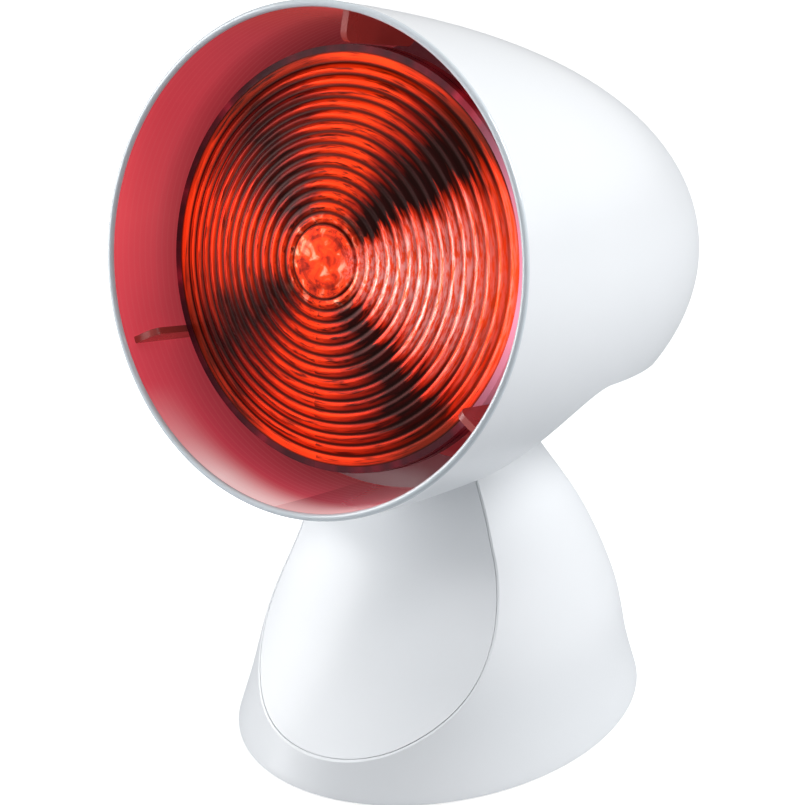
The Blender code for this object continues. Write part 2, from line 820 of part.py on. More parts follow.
def make_base():
    low = shell_gap + plate_recess
    share = plate_recess / body_height
    half_width = base_half_width * smooth_share(body_shares, share, 1) - foot_wall - pocket_side_play
    half_length = base_half_length * smooth_share(body_shares, share, 2) - foot_wall - pocket_side_play
    narrow = base_half_width * (smooth_share(body_shares, share, 1)
                                - smooth_share(body_shares, share + plate_thickness / body_height, 1))
    rings = [(low, half_width - narrow, half_length - narrow, 0.0),
             (low + plate_thickness, half_width - narrow, half_length - narrow, 0.0)]
    floor = loft("base_plate", rings, cavity_sides)
    for count, place in enumerate(screw_places(), 1):
        hole = cylinder("plate hole %d" % count, screw_hole_radius, plate_thickness + overrun,
                        (*place, low + plate_thickness / 2), sides=16)
        cut(floor, cutter(on_foot(hole)))
        fixing = on_foot(screw("base_screw_%d" % count, 1), (*place, low - touch))
        part(fixing, steel, 0.35, 1.0)
    part(on_foot(floor), (0.80, 0.81, 0.82), 0.5)
    pad_height = low - touch
    count = 0
    for x in (-1, 1):
        for y in (-1, 1):
            count += 1
            pad = cylinder("rubber_foot_%d" % count, pad_radius, pad_height,
                           (x * pad_side, y * pad_length, pad_height / 2))
            part(on_foot(pad), (0.08, 0.08, 0.085), 0.8)


def make_entry(shell):
    face = rear_y(entry_height - shell_gap)
    boss = cylinder("entry boss", entry_boss_radius, entry_boss_length,
                    (0, face - foot_wall / 2 - entry_boss_length / 2, entry_height), "Y", 32)
    hold = cutter(on_foot(body("entry limit", foot_wall / 2, 0.0, body_height, cavity_sides)))
    join(shell, cutter(on_foot(keep(boss, hold))))
    seat = face - entry_seat
    sink = cylinder("entry sink", entry_collar_radius + touch, 2 * overrun, (0, seat + overrun, entry_height), "Y")
    through = cylinder("entry hole", entry_radius + touch, 4 * entry_boss_length, (0, face, entry_height), "Y")
    cut(shell, cutter(on_foot(sink)))
    cut(shell, cutter(on_foot(through)))
    start_y = touch
    profile = [(entry_bore, entry_collar_length), (entry_collar_radius * 0.85, entry_collar_length),
               (entry_collar_radius, entry_collar_length * 0.8), (entry_collar_radius, start_y),
               (entry_radius, start_y), (entry_radius, -entry_length), (entry_bore, -entry_length)]
    gland = turned("cable_entry", profile, 20, closed=True)
    gland.matrix_local = (Matrix.Translation(foot_place + Vector((0, seat, entry_height)))
                          @ Matrix.Rotation(-math.pi / 2, 4, "X"))
    part(gland, black, 0.6)


def make_switch(shell):
    height = switch_height - shell_gap
    step = body_height / 100
    lean = math.atan2(rear_y(height - step) - rear_y(height + step), 2 * step)
    normal = Vector((0, math.cos(lean), math.sin(lean)))
    place = foot_place + Vector((0, rear_y(height), switch_height)) - normal * rocker_depth
    frame = bpy.data.objects.new("switch_axis", None)
    frame.empty_display_size = rocker_half_length
    frame.location = place
    frame.rotation_euler = (lean - math.pi / 2, 0, 0)
    parts.objects.link(frame)

    def on_switch(thing):
        thing.parent = frame
        return thing

    floor = rocker_depth - bezel_recess
    pad = box("switch pad", (bezel_width + 2 * switch_pad_margin, bezel_length + 2 * switch_pad_margin,
                             foot_wall + switch_pad_depth),
              (0, 0, floor - (foot_wall + switch_pad_depth) / 2))
    hold = cutter(on_foot(body("switch limit", foot_wall / 2, 0.0, body_height, cavity_sides)))
    join(shell, cutter(on_switch(keep(pad, hold))))
    sink = box("switch sink", (bezel_width + 2 * pocket_side_play, bezel_length + 2 * pocket_side_play, 2 * overrun),
               (0, 0, floor + overrun))
    window = box("switch window", (case_width + 2 * pocket_side_play, case_length + 2 * pocket_side_play,
                                   4 * case_depth), (0, 0, 0))
    cut(shell, cutter(on_switch(sink)))
    cut(shell, cutter(on_switch(window)))

    under = floor + touch
    top = under + bezel_thickness
    low = under - case_depth
    case = box("switch_housing", (case_width, case_length, top - low), (0, 0, (top + low) / 2))
    bezel = box("bezel", (bezel_width, bezel_length, bezel_thickness), (0, 0, (under + top) / 2))
    join(case, cutter(on_switch(bezel)))
    depth = rocker_root + rocker_dip + touch
    room = box("case room", (case_width - 2 * case_wall, case_length - 2 * case_wall, top + depth + overrun),
               (0, 0, (top + overrun - depth) / 2))
    cut(case, cutter(on_switch(room)))
    pins = cylinder("case bore", trunnion_radius + trunnion_play, case_width - 2 * touch, (0, 0, 0), "X", 20)
    cut(case, cutter(on_switch(pins)))
    part(on_switch(case), black, 0.4)

    outline = [(-rocker_half_length, rocker_rise - rocker_dip), (-rocker_half_length, rocker_rise),
               (0, rocker_rise - rocker_dip), (rocker_half_length, rocker_rise),
               (rocker_half_length, rocker_rise - rocker_dip), (rocker_root_half_length, -rocker_root),
               (-rocker_root_half_length, -rocker_root)]
    rocker = plate("switch_rocker", list(reversed(outline)), 2 * rocker_half_width, across_foot)
    pin = cylinder("rocker pin", trunnion_radius, case_width - 4 * touch, (0, 0, 0), "X", 16)
    join(rocker, cutter(on_switch(pin)))
    rocker.rotation_euler = (-rocker_angle, 0, 0)
    part(on_switch(rocker), (0.12, 0.12, 0.13), 0.35)
    print("rocker axis", [round(c, 5) for c in place])


cap_end = make_lamp()
strap_seat = make_holder(cap_end)
head_shell(strap_seat)
make_roof()
make_bracket()
foot = make_foot()
make_entry(foot)
make_switch(foot)
part(on_foot(foot), white, 0.25)
make_base()
print("pivot", round(pivot_y, 5), pivot_height)
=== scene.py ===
# Infrared heat lamp on an oval foot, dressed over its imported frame.
# Metres, +Z up, the front faces -Y. Head pieces are drawn from the rim's centre, then tilted into place.
import json
import math
from functools import partial

import bmesh
import bpy
from mathutils import Matrix, Vector


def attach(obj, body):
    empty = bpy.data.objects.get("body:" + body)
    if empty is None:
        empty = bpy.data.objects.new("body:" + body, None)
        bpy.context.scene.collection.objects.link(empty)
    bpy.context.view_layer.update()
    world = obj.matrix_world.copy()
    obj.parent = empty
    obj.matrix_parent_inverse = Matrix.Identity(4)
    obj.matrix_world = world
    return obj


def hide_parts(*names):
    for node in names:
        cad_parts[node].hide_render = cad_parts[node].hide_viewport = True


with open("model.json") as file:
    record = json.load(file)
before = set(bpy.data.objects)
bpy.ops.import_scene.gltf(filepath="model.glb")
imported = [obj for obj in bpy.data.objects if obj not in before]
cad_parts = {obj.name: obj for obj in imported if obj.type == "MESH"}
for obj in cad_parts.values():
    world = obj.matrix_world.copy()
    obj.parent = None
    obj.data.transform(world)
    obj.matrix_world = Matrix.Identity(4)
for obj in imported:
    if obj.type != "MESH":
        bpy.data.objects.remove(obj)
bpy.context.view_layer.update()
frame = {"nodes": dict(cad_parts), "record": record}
scene = bpy.context.scene
joints = {joint["name"]: joint for joint in frame["record"]["behaviour"]["joints"]}
print("frame loaded:", len(frame["nodes"]), "nodes")


# Small tools

def linear(code, alpha=1.0):  # sRGB hex to linear light
    parts = [int(code[i:i + 2], 16) / 255 for i in (0, 2, 4)]
    return (*[p / 12.92 if p <= 0.04045 else ((p + 0.055) / 1.055) ** 2.4 for p in parts], alpha)


softStep = {"interpolation_type": "SMOOTHSTEP"}
noiseSpan = (0.3, 0.7)  # most values of a noise lie between these


def feed(node, inputs):  # a list fills the live sockets in order, a dictionary goes by name
    live = [socket for socket in node.inputs if socket.enabled]
    for key, value in inputs.items() if isinstance(inputs, dict) else enumerate(inputs):
        socket = node.inputs[key] if isinstance(key, str) else live[key]
        if isinstance(value, bpy.types.Node):
            value = next(out for out in value.outputs if out.enabled)
        if isinstance(value, bpy.types.NodeSocket):
            node.id_data.links.new(value, socket)
        elif value is not None:
            socket.default_value = value
    return node


def addNode(tree, kind, inputs=(), operation=None, **settings):  # kind is the type's name after its family
    family = "ShaderNode" if hasattr(bpy.types, "ShaderNode" + kind) else "GeometryNode"
    node = tree.nodes.new(family + kind)
    if operation:
        node.operation = operation
    for name, value in settings.items():
        setattr(node, name, value)
    return feed(node, inputs)


def bake(piece):  # what the modifiers make becomes the piece's plain mesh
    bpy.context.view_layer.update()
    ready = piece.evaluated_get(bpy.context.evaluated_depsgraph_get())
    mesh = bpy.data.meshes.new_from_object(ready)
    piece.modifiers.clear()
    piece.data = mesh
    return piece


def drawn(name, shape, fair=True):
    if fair:
        bmesh.ops.remove_doubles(shape, verts=shape.verts, dist=0.000002)
        bmesh.ops.recalc_face_normals(shape, faces=shape.faces)
    mesh = bpy.data.meshes.new(name)
    shape.to_mesh(mesh)
    shape.free()
    piece = bpy.data.objects.new(name, mesh)
    scene.collection.objects.link(piece)
    return piece


def carve(piece, tools, operation="DIFFERENCE"):
    for tool in tools:
        step = piece.modifiers.new(tool.name, "BOOLEAN")
        step.operation = operation
        step.solver = "EXACT"
        step.object = tool
    bake(piece)
    for tool in tools:
        bpy.data.objects.remove(tool, do_unlink=True)
    return piece


def settle(piece, materials, body, place=None, nodes=(), crease=35):  # into place, smooth, and on its body
    if place is not None:
        piece.data.transform(place)
    piece.data.shade_smooth()
    piece.data.set_sharp_from_angle(angle=math.radians(crease))
    if materials:
        piece.data.materials.clear()
        for material in materials:
            piece.data.materials.append(material)
    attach(piece, body)
    if nodes:
        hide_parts(*nodes)
    return piece


def lathe(profile, sides, loop=False):  # (radius, height) points turned about Z
    shape = bmesh.new()
    rings = []
    for radius, height in profile:
        count = 1 if radius < 0.0000001 else sides
        turns = [2 * math.pi * i / sides for i in range(count)]
        rings.append([shape.verts.new((radius * math.cos(t), radius * math.sin(t), height)) for t in turns])
    pairs = list(zip(rings, rings[1:])) + ([(rings[-1], rings[0])] if loop else [])
    for low, high in pairs:
        for i in range(sides):
            j = (i + 1) % sides
            corners = [low[i % len(low)], low[j % len(low)], high[j % len(high)], high[i % len(high)]]
            corners = list(dict.fromkeys(corners))
            if len(corners) > 2:
                shape.faces.new(corners)
    return shape


def sheet(point, across, along, reach):  # a grid at point(u, v), given a thickness by the vector reach
    shape = bmesh.new()
    bmesh.ops.create_grid(shape, x_segments=across, y_segments=along, size=1.0)
    for vert in shape.verts:
        vert.co = point((vert.co.x + 1) / 2, (vert.co.y + 1) / 2)
    if reach:
        grown = bmesh.ops.extrude_face_region(shape, geom=shape.faces[:])
        moved = [item for item in grown["geom"] if isinstance(item, bmesh.types.BMVert)]
        bmesh.ops.translate(shape, verts=moved, vec=reach)
    return shape


def prism(outline, thickness, lie):  # a flat outline with a thickness, centred, laid by the matrix lie
    shape = bmesh.new()
    low = [shape.verts.new((a, b, -thickness / 2)) for a, b in outline]
    high = [shape.verts.new((a, b, thickness / 2)) for a, b in outline]
    shape.faces.new(reversed(low))
    shape.faces.new(high)
    for i in range(len(low)):
        j = (i + 1) % len(low)
        shape.faces.new((low[i], low[j], high[j], high[i]))
    bmesh.ops.transform(shape, matrix=lie, verts=shape.verts)
    return shape


def rod(radius, length, place, sides=48):  # a plain round tool along Z of the matrix place
    shape = lathe([(0, -length / 2), (radius, -length / 2), (radius, length / 2), (0, length / 2)], sides)
    bmesh.ops.transform(shape, matrix=place, verts=shape.verts)
    return shape


def roundedBox(width, length, height, place, corner=0.0, steps=6):  # corner rounds the outline seen along Z
    outline = []
    for turn, (a, b) in enumerate(((1, 1), (-1, 1), (-1, -1), (1, -1))):
        for i in range(steps + 1 if corner else 1):
            angle = math.pi / 2 * (turn + i / steps)
            outline.append((a * (width / 2 - corner) + corner * math.cos(angle),
                            b * (length / 2 - corner) + corner * math.sin(angle)))
    return prism(outline, height, place)


def soften(piece, width, segments=3, angle=30):
    step = piece.modifiers.new("soft edges", "BEVEL")
    step.width = width
    step.segments = segments
    step.limit_method = "ANGLE"
    step.angle_limit = math.radians(angle)
    return bake(piece)


# Geometry Nodes

weldGap = 0.00001


def newTree(name, inputs):  # named inputs with their usual sizes
    tree = bpy.data.node_groups.new(name, "GeometryNodeTree")
    tree.interface.new_socket("Geometry", in_out="INPUT", socket_type="NodeSocketGeometry")
    for label, value in inputs.items():
        kind = "NodeSocketInt" if isinstance(value, int) else "NodeSocketFloat"
        tree.interface.new_socket(label, in_out="INPUT", socket_type=kind).default_value = value
    tree.interface.new_socket("Geometry", in_out="OUTPUT", socket_type="NodeSocketGeometry")
    given, result = tree.nodes.new("NodeGroupInput").outputs, tree.nodes.new("NodeGroupOutput")
    return tree, partial(addNode, tree), given, result


def dress(add, geometry, material, result):  # real meshes leave the tree, with their material
    real = add("RealizeInstances", {"Geometry": geometry})
    feed(result, [add("SetMaterial", {"Geometry": real, "Material": material})])


def roundedBlock(add, wide, tall, corner, thick, steps):  # a closed block grown from a rectangle with round corners
    outline = add("CurvePrimitiveQuadrilateral", {"Width": wide, "Height": tall})
    smooth = add("FilletCurve", {"Curve": outline, "Radius": corner, "Count": steps}, mode="POLY")
    face = add("FillCurve", {"Curve": smooth}, mode="NGONS")
    closed = add("JoinGeometry")
    for skin in (add("ExtrudeMesh", {"Mesh": face, "Offset Scale": thick, "Individual": False}),
                 add("FlipFaces", {"Mesh": face})):
        feed(closed, {"Geometry": skin})
    return add("MergeByDistance", {"Geometry": closed, "Distance": weldGap})


def grow(piece, tree, values):
    step = piece.modifiers.new(tree.name, "NODES")
    step.node_group = tree
    for item in tree.interface.items_tree:
        if item.in_out == "INPUT" and item.name in values:
            step[item.identifier] = values[item.name]
    return bake(piece)


def repeatTree(name, material):  # the piece's own mesh at the corners of a grid, such as screws
    tree, add, given, result = newTree(name, {"Spacing X": 0.02, "Spacing Y": 0.02, "Columns": 2, "Rows": 2})
    wide = add("Math", (given["Columns"], 1), "SUBTRACT")
    deep = add("Math", (given["Rows"], 1), "SUBTRACT")
    width = add("Math", (wide, given["Spacing X"]), "MULTIPLY")
    depth = add("Math", (deep, given["Spacing Y"]), "MULTIPLY")
    grid = add("MeshGrid", {"Size X": width, "Size Y": depth, "Vertices X": given["Columns"],
                            "Vertices Y": given["Rows"]})
    points = add("MeshToPoints", {"Mesh": grid.outputs["Mesh"]})
    copies = add("InstanceOnPoints", {"Points": points, "Instance": given["Geometry"]})
    dress(add, copies, material, result)
    return tree


# Where the head and the foot are

headShape = {"rim": 0.07175, "length": 0.1835, "wall": 0.0021, "tilt": 13.6, "sides": 192, "steps": 84,
             "redDepth": 0.07,
             "shares": (2.1, -2.38, 3.08, -2.56, 0.76)}
hingeShape = {"depth": 0.084, "drop": 0.046, "setback": 0.0019}
touch = 0.0003  # room between hard pieces that meet
hingeAt = Vector(joints["head_tilt"]["pos_m"])
headPlace = (Matrix.Translation(hingeAt) @ Matrix.Rotation(math.radians(90 - headShape["tilt"]), 4, "X")
             @ Matrix.Translation((0, hingeShape["drop"], hingeShape["depth"])))
headInverse = headPlace.inverted()
footPlace = Matrix.Translation((0, hingeAt.y - hingeShape["setback"], 0))
acrossHead = Matrix(((0, 0, 1, 0), (0, 1, 0, 0), (-1, 0, 0, 0), (0, 0, 0, 1)))  # (depth, height) to the head's axes
acrossFoot = Matrix(((0, 0, 1, 0), (1, 0, 0, 0), (0, 1, 0, 0), (0, 0, 0, 1)))  # (Y, Z) to the foot's axes
alongX = Matrix.Rotation(math.pi / 2, 4, "Y")
alongY = Matrix.Rotation(-math.pi / 2, 4, "X")


# Materials

def newMaterial(name, **constants):  # constants go straight onto the shader's own sockets
    material = bpy.data.materials.new(name)
    material.use_nodes = True
    tree = material.node_tree
    shader = tree.nodes["Principled BSDF"]
    for key, value in constants.items():
        label = {"ior": "IOR", "coat": "Coat Weight", "coatRoughness": "Coat Roughness", "metallic": "Metallic",
                 "roughness": "Roughness", "sheen": "Sheen Weight", "specular": "Specular IOR Level",
                 "glow": "Emission Strength"}[key]
        shader.inputs[label].default_value = value
    add = partial(addNode, tree)
    return material, add, shader, add("TexCoord").outputs["Object"]


def headClock(add, place):  # Object coordinates turned to the head's own axes, and the angle round the lamp
    local = add("Mapping", {"Vector": place, "Location": headInverse.to_translation(),
                            "Rotation": headInverse.to_euler()})
    axes = add("SeparateXYZ", (local,)).outputs
    return axes, add("Math", (axes["X"], axes["Y"]), "ARCTAN2")


def setStops(node, stops):
    ramp = node.color_ramp
    ramp.interpolation = "LINEAR"
    while len(ramp.elements) > 1:
        ramp.elements.remove(ramp.elements[-1])
    ramp.elements[0].position, ramp.elements[0].color = stops[0][0], linear(stops[0][1])
    for place, code in stops[1:]:
        ramp.elements.new(place).color = linear(code)
    return node


# Two close colours in soft patches, a roughness that wanders between two values, and a grain: patch is in mm,
# grain is its width and height in mm and its strength
def finish(name, light, dark, patch, rough, grain, detail=3.0, **constants):
    material, add, shader, place = newMaterial(name, **constants)
    cloud = add("TexNoise", {"Vector": place, "Scale": 1000 / patch, "Detail": detail})
    shade = add("Mix", (cloud, linear(light), linear(dark)), data_type="RGBA")
    fine = add("TexNoise", {"Vector": place, "Scale": 1000 / grain[0], "Detail": 2.0})
    feed(shader, {"Base Color": shade, "Roughness": add("MapRange", (cloud, *noiseSpan, *rough)),
                  "Normal": add("Bump", {"Height": fine, "Strength": grain[2], "Distance": grain[1] / 1000})})
    if "glow" in constants:
        feed(shader, {"Emission Color": shade})
    return material


# Injection-moulded ABS, polished mould: clean gloss white with a very slight orange peel, about 2 mm across
glossAbs = finish("glossMouldedAbs", "ECEEF1", "E8EBEE", 40, (0.28, 0.3), (2.2, 0.01, 0.12), detail=0.0, ior=1.54)
# The same ABS from a finer blasted mould: softer gloss
satinAbs = finish("satinMouldedAbs", "ECEEF1", "E8EBEE", 35, (0.32, 0.34), (0.9, 0.008, 0.15), detail=0.0, ior=1.54)
# Rim bead, where the mould halves met and were polished; its cooler, darker grey-blue is painted shade
rimAbs = finish("polishedRimAbs", "DCE4EA", "D3DBE2", 15, (0.1, 0.16), (1.5, 0.005, 0.1), ior=1.54, coat=0.4,
                coatRoughness=0.04)
# Spark-eroded ABS on hidden faces: matt, with a grain of 0.6 mm
mattAbs = finish("mattTexturedAbs", "E3E5E7", "D9DCDF", 20, (0.5, 0.62), (0.6, 0.02, 0.4), ior=1.54)
# Bright zinc-plated steel: grey with a faint blue cast and cloudy passivation
zincSteel = finish("zincPlatedSteel", "C9CCD0", "A9AEB6", 6, (0.24, 0.42), (0.5, 0.008, 0.3), metallic=1.0)
# Pressed nickel-plated brass of the lamp's cap: pale gold, a little dulled
capBrass = finish("platedBrass", "D8CDA4", "BBAA78", 5, (0.22, 0.38), (0.4, 0.01, 0.25), metallic=1.0)
# Glazed steatite: cream ceramic, with iron specks under a thin glaze
steatite = finish("glazedSteatite", "EDE8DA", "DDD5C2", 1.6, (0.18, 0.3), (1.2, 0.02, 0.3), ior=1.6, coat=0.4,
                  coatRoughness=0.08)
# Vulcanised fibre washers: dark and dull, with short fibres
vulcanFibre = finish("vulcanisedFibre", "34332F", "242320", 0.8, (0.6, 0.75), (0.3, 0.03, 0.5), ior=1.5)
# Black nylon mouldings: fine spark-eroded grain
blackNylon = finish("blackMouldedNylon", "1B1C1F", "131416", 4, (0.38, 0.5), (0.35, 0.015, 0.4), ior=1.53)
# Nitrile rubber pads: grey-black, dry and slightly dusty
nitrile = finish("nitrileRubber", "2B2C2D", "1E1F20", 3, (0.72, 0.88), (0.5, 0.04, 0.5), ior=1.52, sheen=0.15)
# Pad-printed ink on the rocker
whiteInk = finish("padPrintedInk", "E8E8E6", "DCDCDA", 1.0, (0.45, 0.55), (0.3, 0.005, 0.2), ior=1.5)
print("plain finishes ready")

shadeLook = {"deep": "8A2E33", "paleReflection": "F0D2D2", "line": "F09A98", "glow": 0.5, "deepFrom": 0.018, "deepTo": 0.045,
             "paleFrom": 0.002, "paleTo": 0.019, "linePitch": 0.0012, "lineWidth": 0.0005,
             # painted light round the wall, from six o'clock over nine at a quarter: a painted highlight near nine and
             # painted shade near one; and where the rim fades to a painted pale pink reflection
             "round": ((0.0, "C84A58"), (0.08, "CE4656"), (0.16, "D84A58"), (0.25, "E85660"), (0.33, "D84854"),
                       (0.40, "C84650"), (0.46, "B04440"), (0.52, "9C3A34"), (0.58, "8E302E"), (0.7, "9C3440"),
                       (0.85, "A83A48")),
             "paleReflectionMask": ((0.0, "FFFFFF"), (0.05, "FFFFFF"), (0.09, "A8A8A8"), (0.135, "000000"), (0.9, "000000"),
                      (0.95, "E0E0E0"))}


def shadeMaterial():  # glossy white ABS inside the shade, its colour painted light: the ruby lamp's red, painted highlights and shade round it, painted shade deepest behind the flange, a painted pale reflection low at the rim and painted reflections of the lens's rings
    look = shadeLook
    material, add, shader, place = newMaterial("rubyLitShadeAbs", ior=1.54, roughness=0.16, specular=0.4,
                                               glow=look["glow"])
    axes, clock = headClock(add, place)
    depth = add("Math", (axes["Z"], -1.0), "MULTIPLY")
    turn = add("MapRange", (clock, -math.pi, math.pi, 0.0, 1.0))
    # painted highlight and painted shade round the wall
    roundLight = setStops(add("ValToRGB", (turn,)), look["round"])
    # painted shade: darker deeper inside the shade
    deep = add("MapRange", (depth, look["deepFrom"], look["deepTo"], 0.0, 1.0))
    inner = add("Mix", (deep, roundLight, linear(look["deep"])), data_type="RGBA")
    # painted reflection of pale light on the low front of the wall, near the rim
    low = setStops(add("ValToRGB", (turn,)), look["paleReflectionMask"])
    near = add("MapRange", (depth, look["paleFrom"], look["paleTo"], 1.0, 0.0), **softStep)
    paleReflectionMask = add("Math", (low, near), "MULTIPLY")
    paleReflection = add("Mix", (paleReflectionMask, inner, linear(look["paleReflection"])), data_type="RGBA")
    ringReflections = add("Math", (depth, look["linePitch"]), "PINGPONG")  # painted reflections of the lens's rings
    faintRingReflection = add("MapRange", (ringReflections, 0.0, look["lineWidth"], 0.05, 0.0), **softStep)
    lit = add("Mix", (faintRingReflection, paleReflection, linear(look["line"])), data_type="RGBA")
    feed(shader, {"Base Color": lit, "Emission Color": lit})  # painted glow: the lamp's own light, taken up by the wall
    return material


lampShape = {"flange": 0.0605, "flangeDepth": 0.018, "flangeThickness": 0.0064, "lens": 0.0567, "rise": 0.009,
             "glass": 0.004, "edge": 0.0027, "ringStart": 0.0105, "ringPitch": 0.0032, "ringHeight": 0.0005,
             "mouth": 0.057, "bowlDepth": 0.060, "bowlGlass": 0.003, "neck": 0.0195, "neckEnd": 0.112,
             "shoulder": 0.004, "cap": 0.0132, "gap": 0.0003, "crimsonFrom": 0.0583}
# Painted light on the lens: the dark line colour is painted shade along each ring's foot, the pale pink one is the
# colour of painted glints
lensLook = {"glow": 0.45, "line": "180503", "paintedGlint": "F0908A", "edge": "E8400F", "fine": 900.0, "streak": 1200.0,
            "wobble": 420.0, "bend": 0.16, "mottle": 240.0,
            # distances from the axis over which the centre, the edge, the glints and the lines come and go
            "centreFade": (0.009, 0.016), "edgeFade": (0.050, 0.056), "glintStart": (0.003, 0.02),
            "glintEnd": (0.042, 0.055), "lineStart": (0.004, 0.0105), "lineWidth": (0.0002, 0.0009),
            # painted reflections: the reflector's bright and dark sectors seen through the glass, round the clock from
            # six
            "round": ((0.0, "E23008"), (0.05, "D02A08"), (0.09, "7C1206"), (0.135, "240504"), (0.17, "5A0E06"),
                      (0.225, "D42C08"), (0.28, "DC2E08"), (0.325, "7A1206"), (0.375, "280604"), (0.425, "6A1006"),
                      (0.475, "D83008"), (0.53, "DC3208"), (0.57, "7A1206"), (0.6, "240504"), (0.635, "1E0504"),
                      (0.652, "B82408"), (0.675, "E8380C"), (0.75, "F0400E"), (0.82, "E4320A"), (0.85, "B82008"),
                      (0.865, "340704"), (0.9, "240504"), (0.94, "8C1808"), (1.0, "E23008")),
            "centre": ((0.3, "5A0C06"), (0.45, "C02A0C"), (0.55, "E03A10"), (0.68, "F08A70")),
            # painted glints of the silvered bowl, from two to four o'clock
            "glints": ((0.652, "000000"), (0.68, "D8D8D8"), (0.74, "FFFFFF"), (0.79, "F0F0F0"), (0.85, "101010"),
                       (0.87, "000000"))}


def lensMaterial():  # pressed ruby glass, its colour painted light: orange-red where the reflector behind it shines, painted shade along each ring's foot
    look = lensLook
    material, add, shader, place = newMaterial("pressedRubyGlass", metallic=0.7, roughness=0.3, specular=0.2,
                                               glow=look["glow"])
    axes, clock = headClock(add, place)
    flat = add("CombineXYZ", (axes["X"], axes["Y"], 0.0))
    radius = add("VectorMath", (flat,), "LENGTH").outputs["Value"]
    swing = add("Math", (clock, 0.004), "MULTIPLY")
    thread = add("CombineXYZ", (swing, radius, 0.0))  # each ring bends the light a little its own way
    wobble = add("TexNoise", {"Vector": thread, "Scale": look["wobble"], "Detail": 3.0, "Roughness": 0.6})
    shift = add("MapRange", (wobble, *noiseSpan, -look["bend"], look["bend"]))
    bent = add("Math", (clock, shift), "ADD")
    turn = add("MapRange", (bent, -math.pi, math.pi, 0.0, 1.0))
    glow = setStops(add("ValToRGB", (turn,)), look["round"])
    middle = add("MapRange", (radius, *look["centreFade"], 1.0, 0.0), **softStep)
    mottle = add("TexNoise", {"Vector": flat, "Scale": look["mottle"], "Detail": 4.0, "Distortion": 0.6})
    centre = setStops(add("ValToRGB", (mottle,)), look["centre"])
    body = add("Mix", (middle, glow, centre), data_type="RGBA")
    edge = add("MapRange", (radius, *look["edgeFade"], 0.0, 0.12), **softStep)
    rimmed = add("Mix", (edge, body, linear(look["edge"])), data_type="RGBA")
    inside = add("MapRange", (radius, *look["glintStart"], 0.0, 1.0), **softStep)
    outside = add("MapRange", (radius, *look["glintEnd"], 1.0, 0.25), **softStep)
    sector = setStops(add("ValToRGB", (turn,)), look["glints"])
    curl = add("Math", (clock, 0.006), "MULTIPLY")
    arcs = add("CombineXYZ", (curl, radius, 0.0))  # short arcs, 0.8 mm apart
    streak = add("TexNoise", {"Vector": arcs, "Scale": look["streak"], "Detail": 3.0, "Roughness": 0.7})
    glint = add("MapRange", (streak, 0.42, 0.58, 0.05, 1.0))
    ring = add("Math", (inside, outside), "MULTIPLY")
    patch = add("Math", (ring, sector), "MULTIPLY")
    amount = add("Math", (patch, glint), "MULTIPLY")
    # painted glints mixed in
    paintedGlint = add("Mix", (amount, rimmed, linear(look["paintedGlint"])), data_type="RGBA")
    # painted shade along the foot of each ring
    past = add("Math", (radius, lampShape["ringStart"]), "SUBTRACT")
    foot = add("Math", (past, lampShape["ringPitch"] / 2), "PINGPONG")
    line = add("MapRange", (foot, *look["lineWidth"], 0.92, 0.0), **softStep)
    fine = add("TexNoise", {"Vector": thread, "Scale": look["fine"], "Detail": 2.0, "Roughness": 0.7})
    cut = add("MapRange", (fine, 0.5, 0.66, 0.0, 0.85))
    deepest = add("Math", (line, cut), "MAXIMUM")
    bright = add("MapRange", (sector, 0.0, 1.0, 1.0, 0.4))  # the glints wash over the lines
    both = add("Math", (deepest, bright), "MULTIPLY")
    within = add("MapRange", (radius, *look["lineStart"], 0.0, 1.0))
    paintedRingShade = add("Math", (both, within), "MULTIPLY")
    ringed = add("Mix", (paintedRingShade, paintedGlint, linear(look["line"])), data_type="RGBA")
    feed(shader, {"Base Color": ringed, "Emission Color": ringed})
    return material


flangeLook = {"lit": "E87A98", "shine": "F2A6BE", "dull": "1A0408", "glow": 0.7,
              "streak": ((0.0, "2A0A10"), (0.45, "4A1520"), (0.56, "7A1C2C"), (0.66, "C8304A")),
              # light comes through from half past one to four o'clock
              "side": ((0.0, "000000"), (0.6, "000000"), (0.68, "D0D0D0"), (0.76, "FFFFFF"), (0.86, "000000"))}


def flangeMaterial():  # thick ruby glass where lens and bowl are fused: almost black, with crimson where light gets in
    look = flangeLook
    material, add, shader, place = newMaterial("fusedRubyGlass", ior=1.5, roughness=0.28, specular=0.12,
                                               glow=look["glow"])
    axes, clock = headClock(add, place)
    along = add("CombineXYZ", (clock, axes["Z"], 0.0))
    streak = add("TexNoise", {"Vector": along, "Scale": 2.6, "Detail": 3.0, "Roughness": 0.6})
    colour = setStops(add("ValToRGB", (streak,)), look["streak"])
    turn = add("MapRange", (clock, -math.pi, math.pi, 0.0, 1.0))
    side = setStops(add("ValToRGB", (turn,)), look["side"])
    lit = add("Mix", (side, colour, linear(look["lit"])), data_type="RGBA")
    shine = add("Mix", (side, linear(look["dull"]), linear(look["shine"])), data_type="RGBA")
    feed(shader, {"Base Color": lit, "Emission Color": shine})
    return material


shadeAbs = shadeMaterial()
rubyLens = lensMaterial()
rubyFlange = flangeMaterial()
# Ribs of the shade: the same ABS, in the lamp's red shadow
ribAbs = finish("rubyShadedAbs", "A8423C", "8A3230", 14, (0.24, 0.34), (2.0, 0.01, 0.12), ior=1.54, specular=0.3,
                glow=0.2)
print("ruby finishes ready")


# Head shell

def headRadius(depth):
    w = math.sqrt(max(0.0, 1 - depth / headShape["length"]))
    return headShape["rim"] * sum(share * w ** (power + 1) for power, share in enumerate(headShape["shares"]))


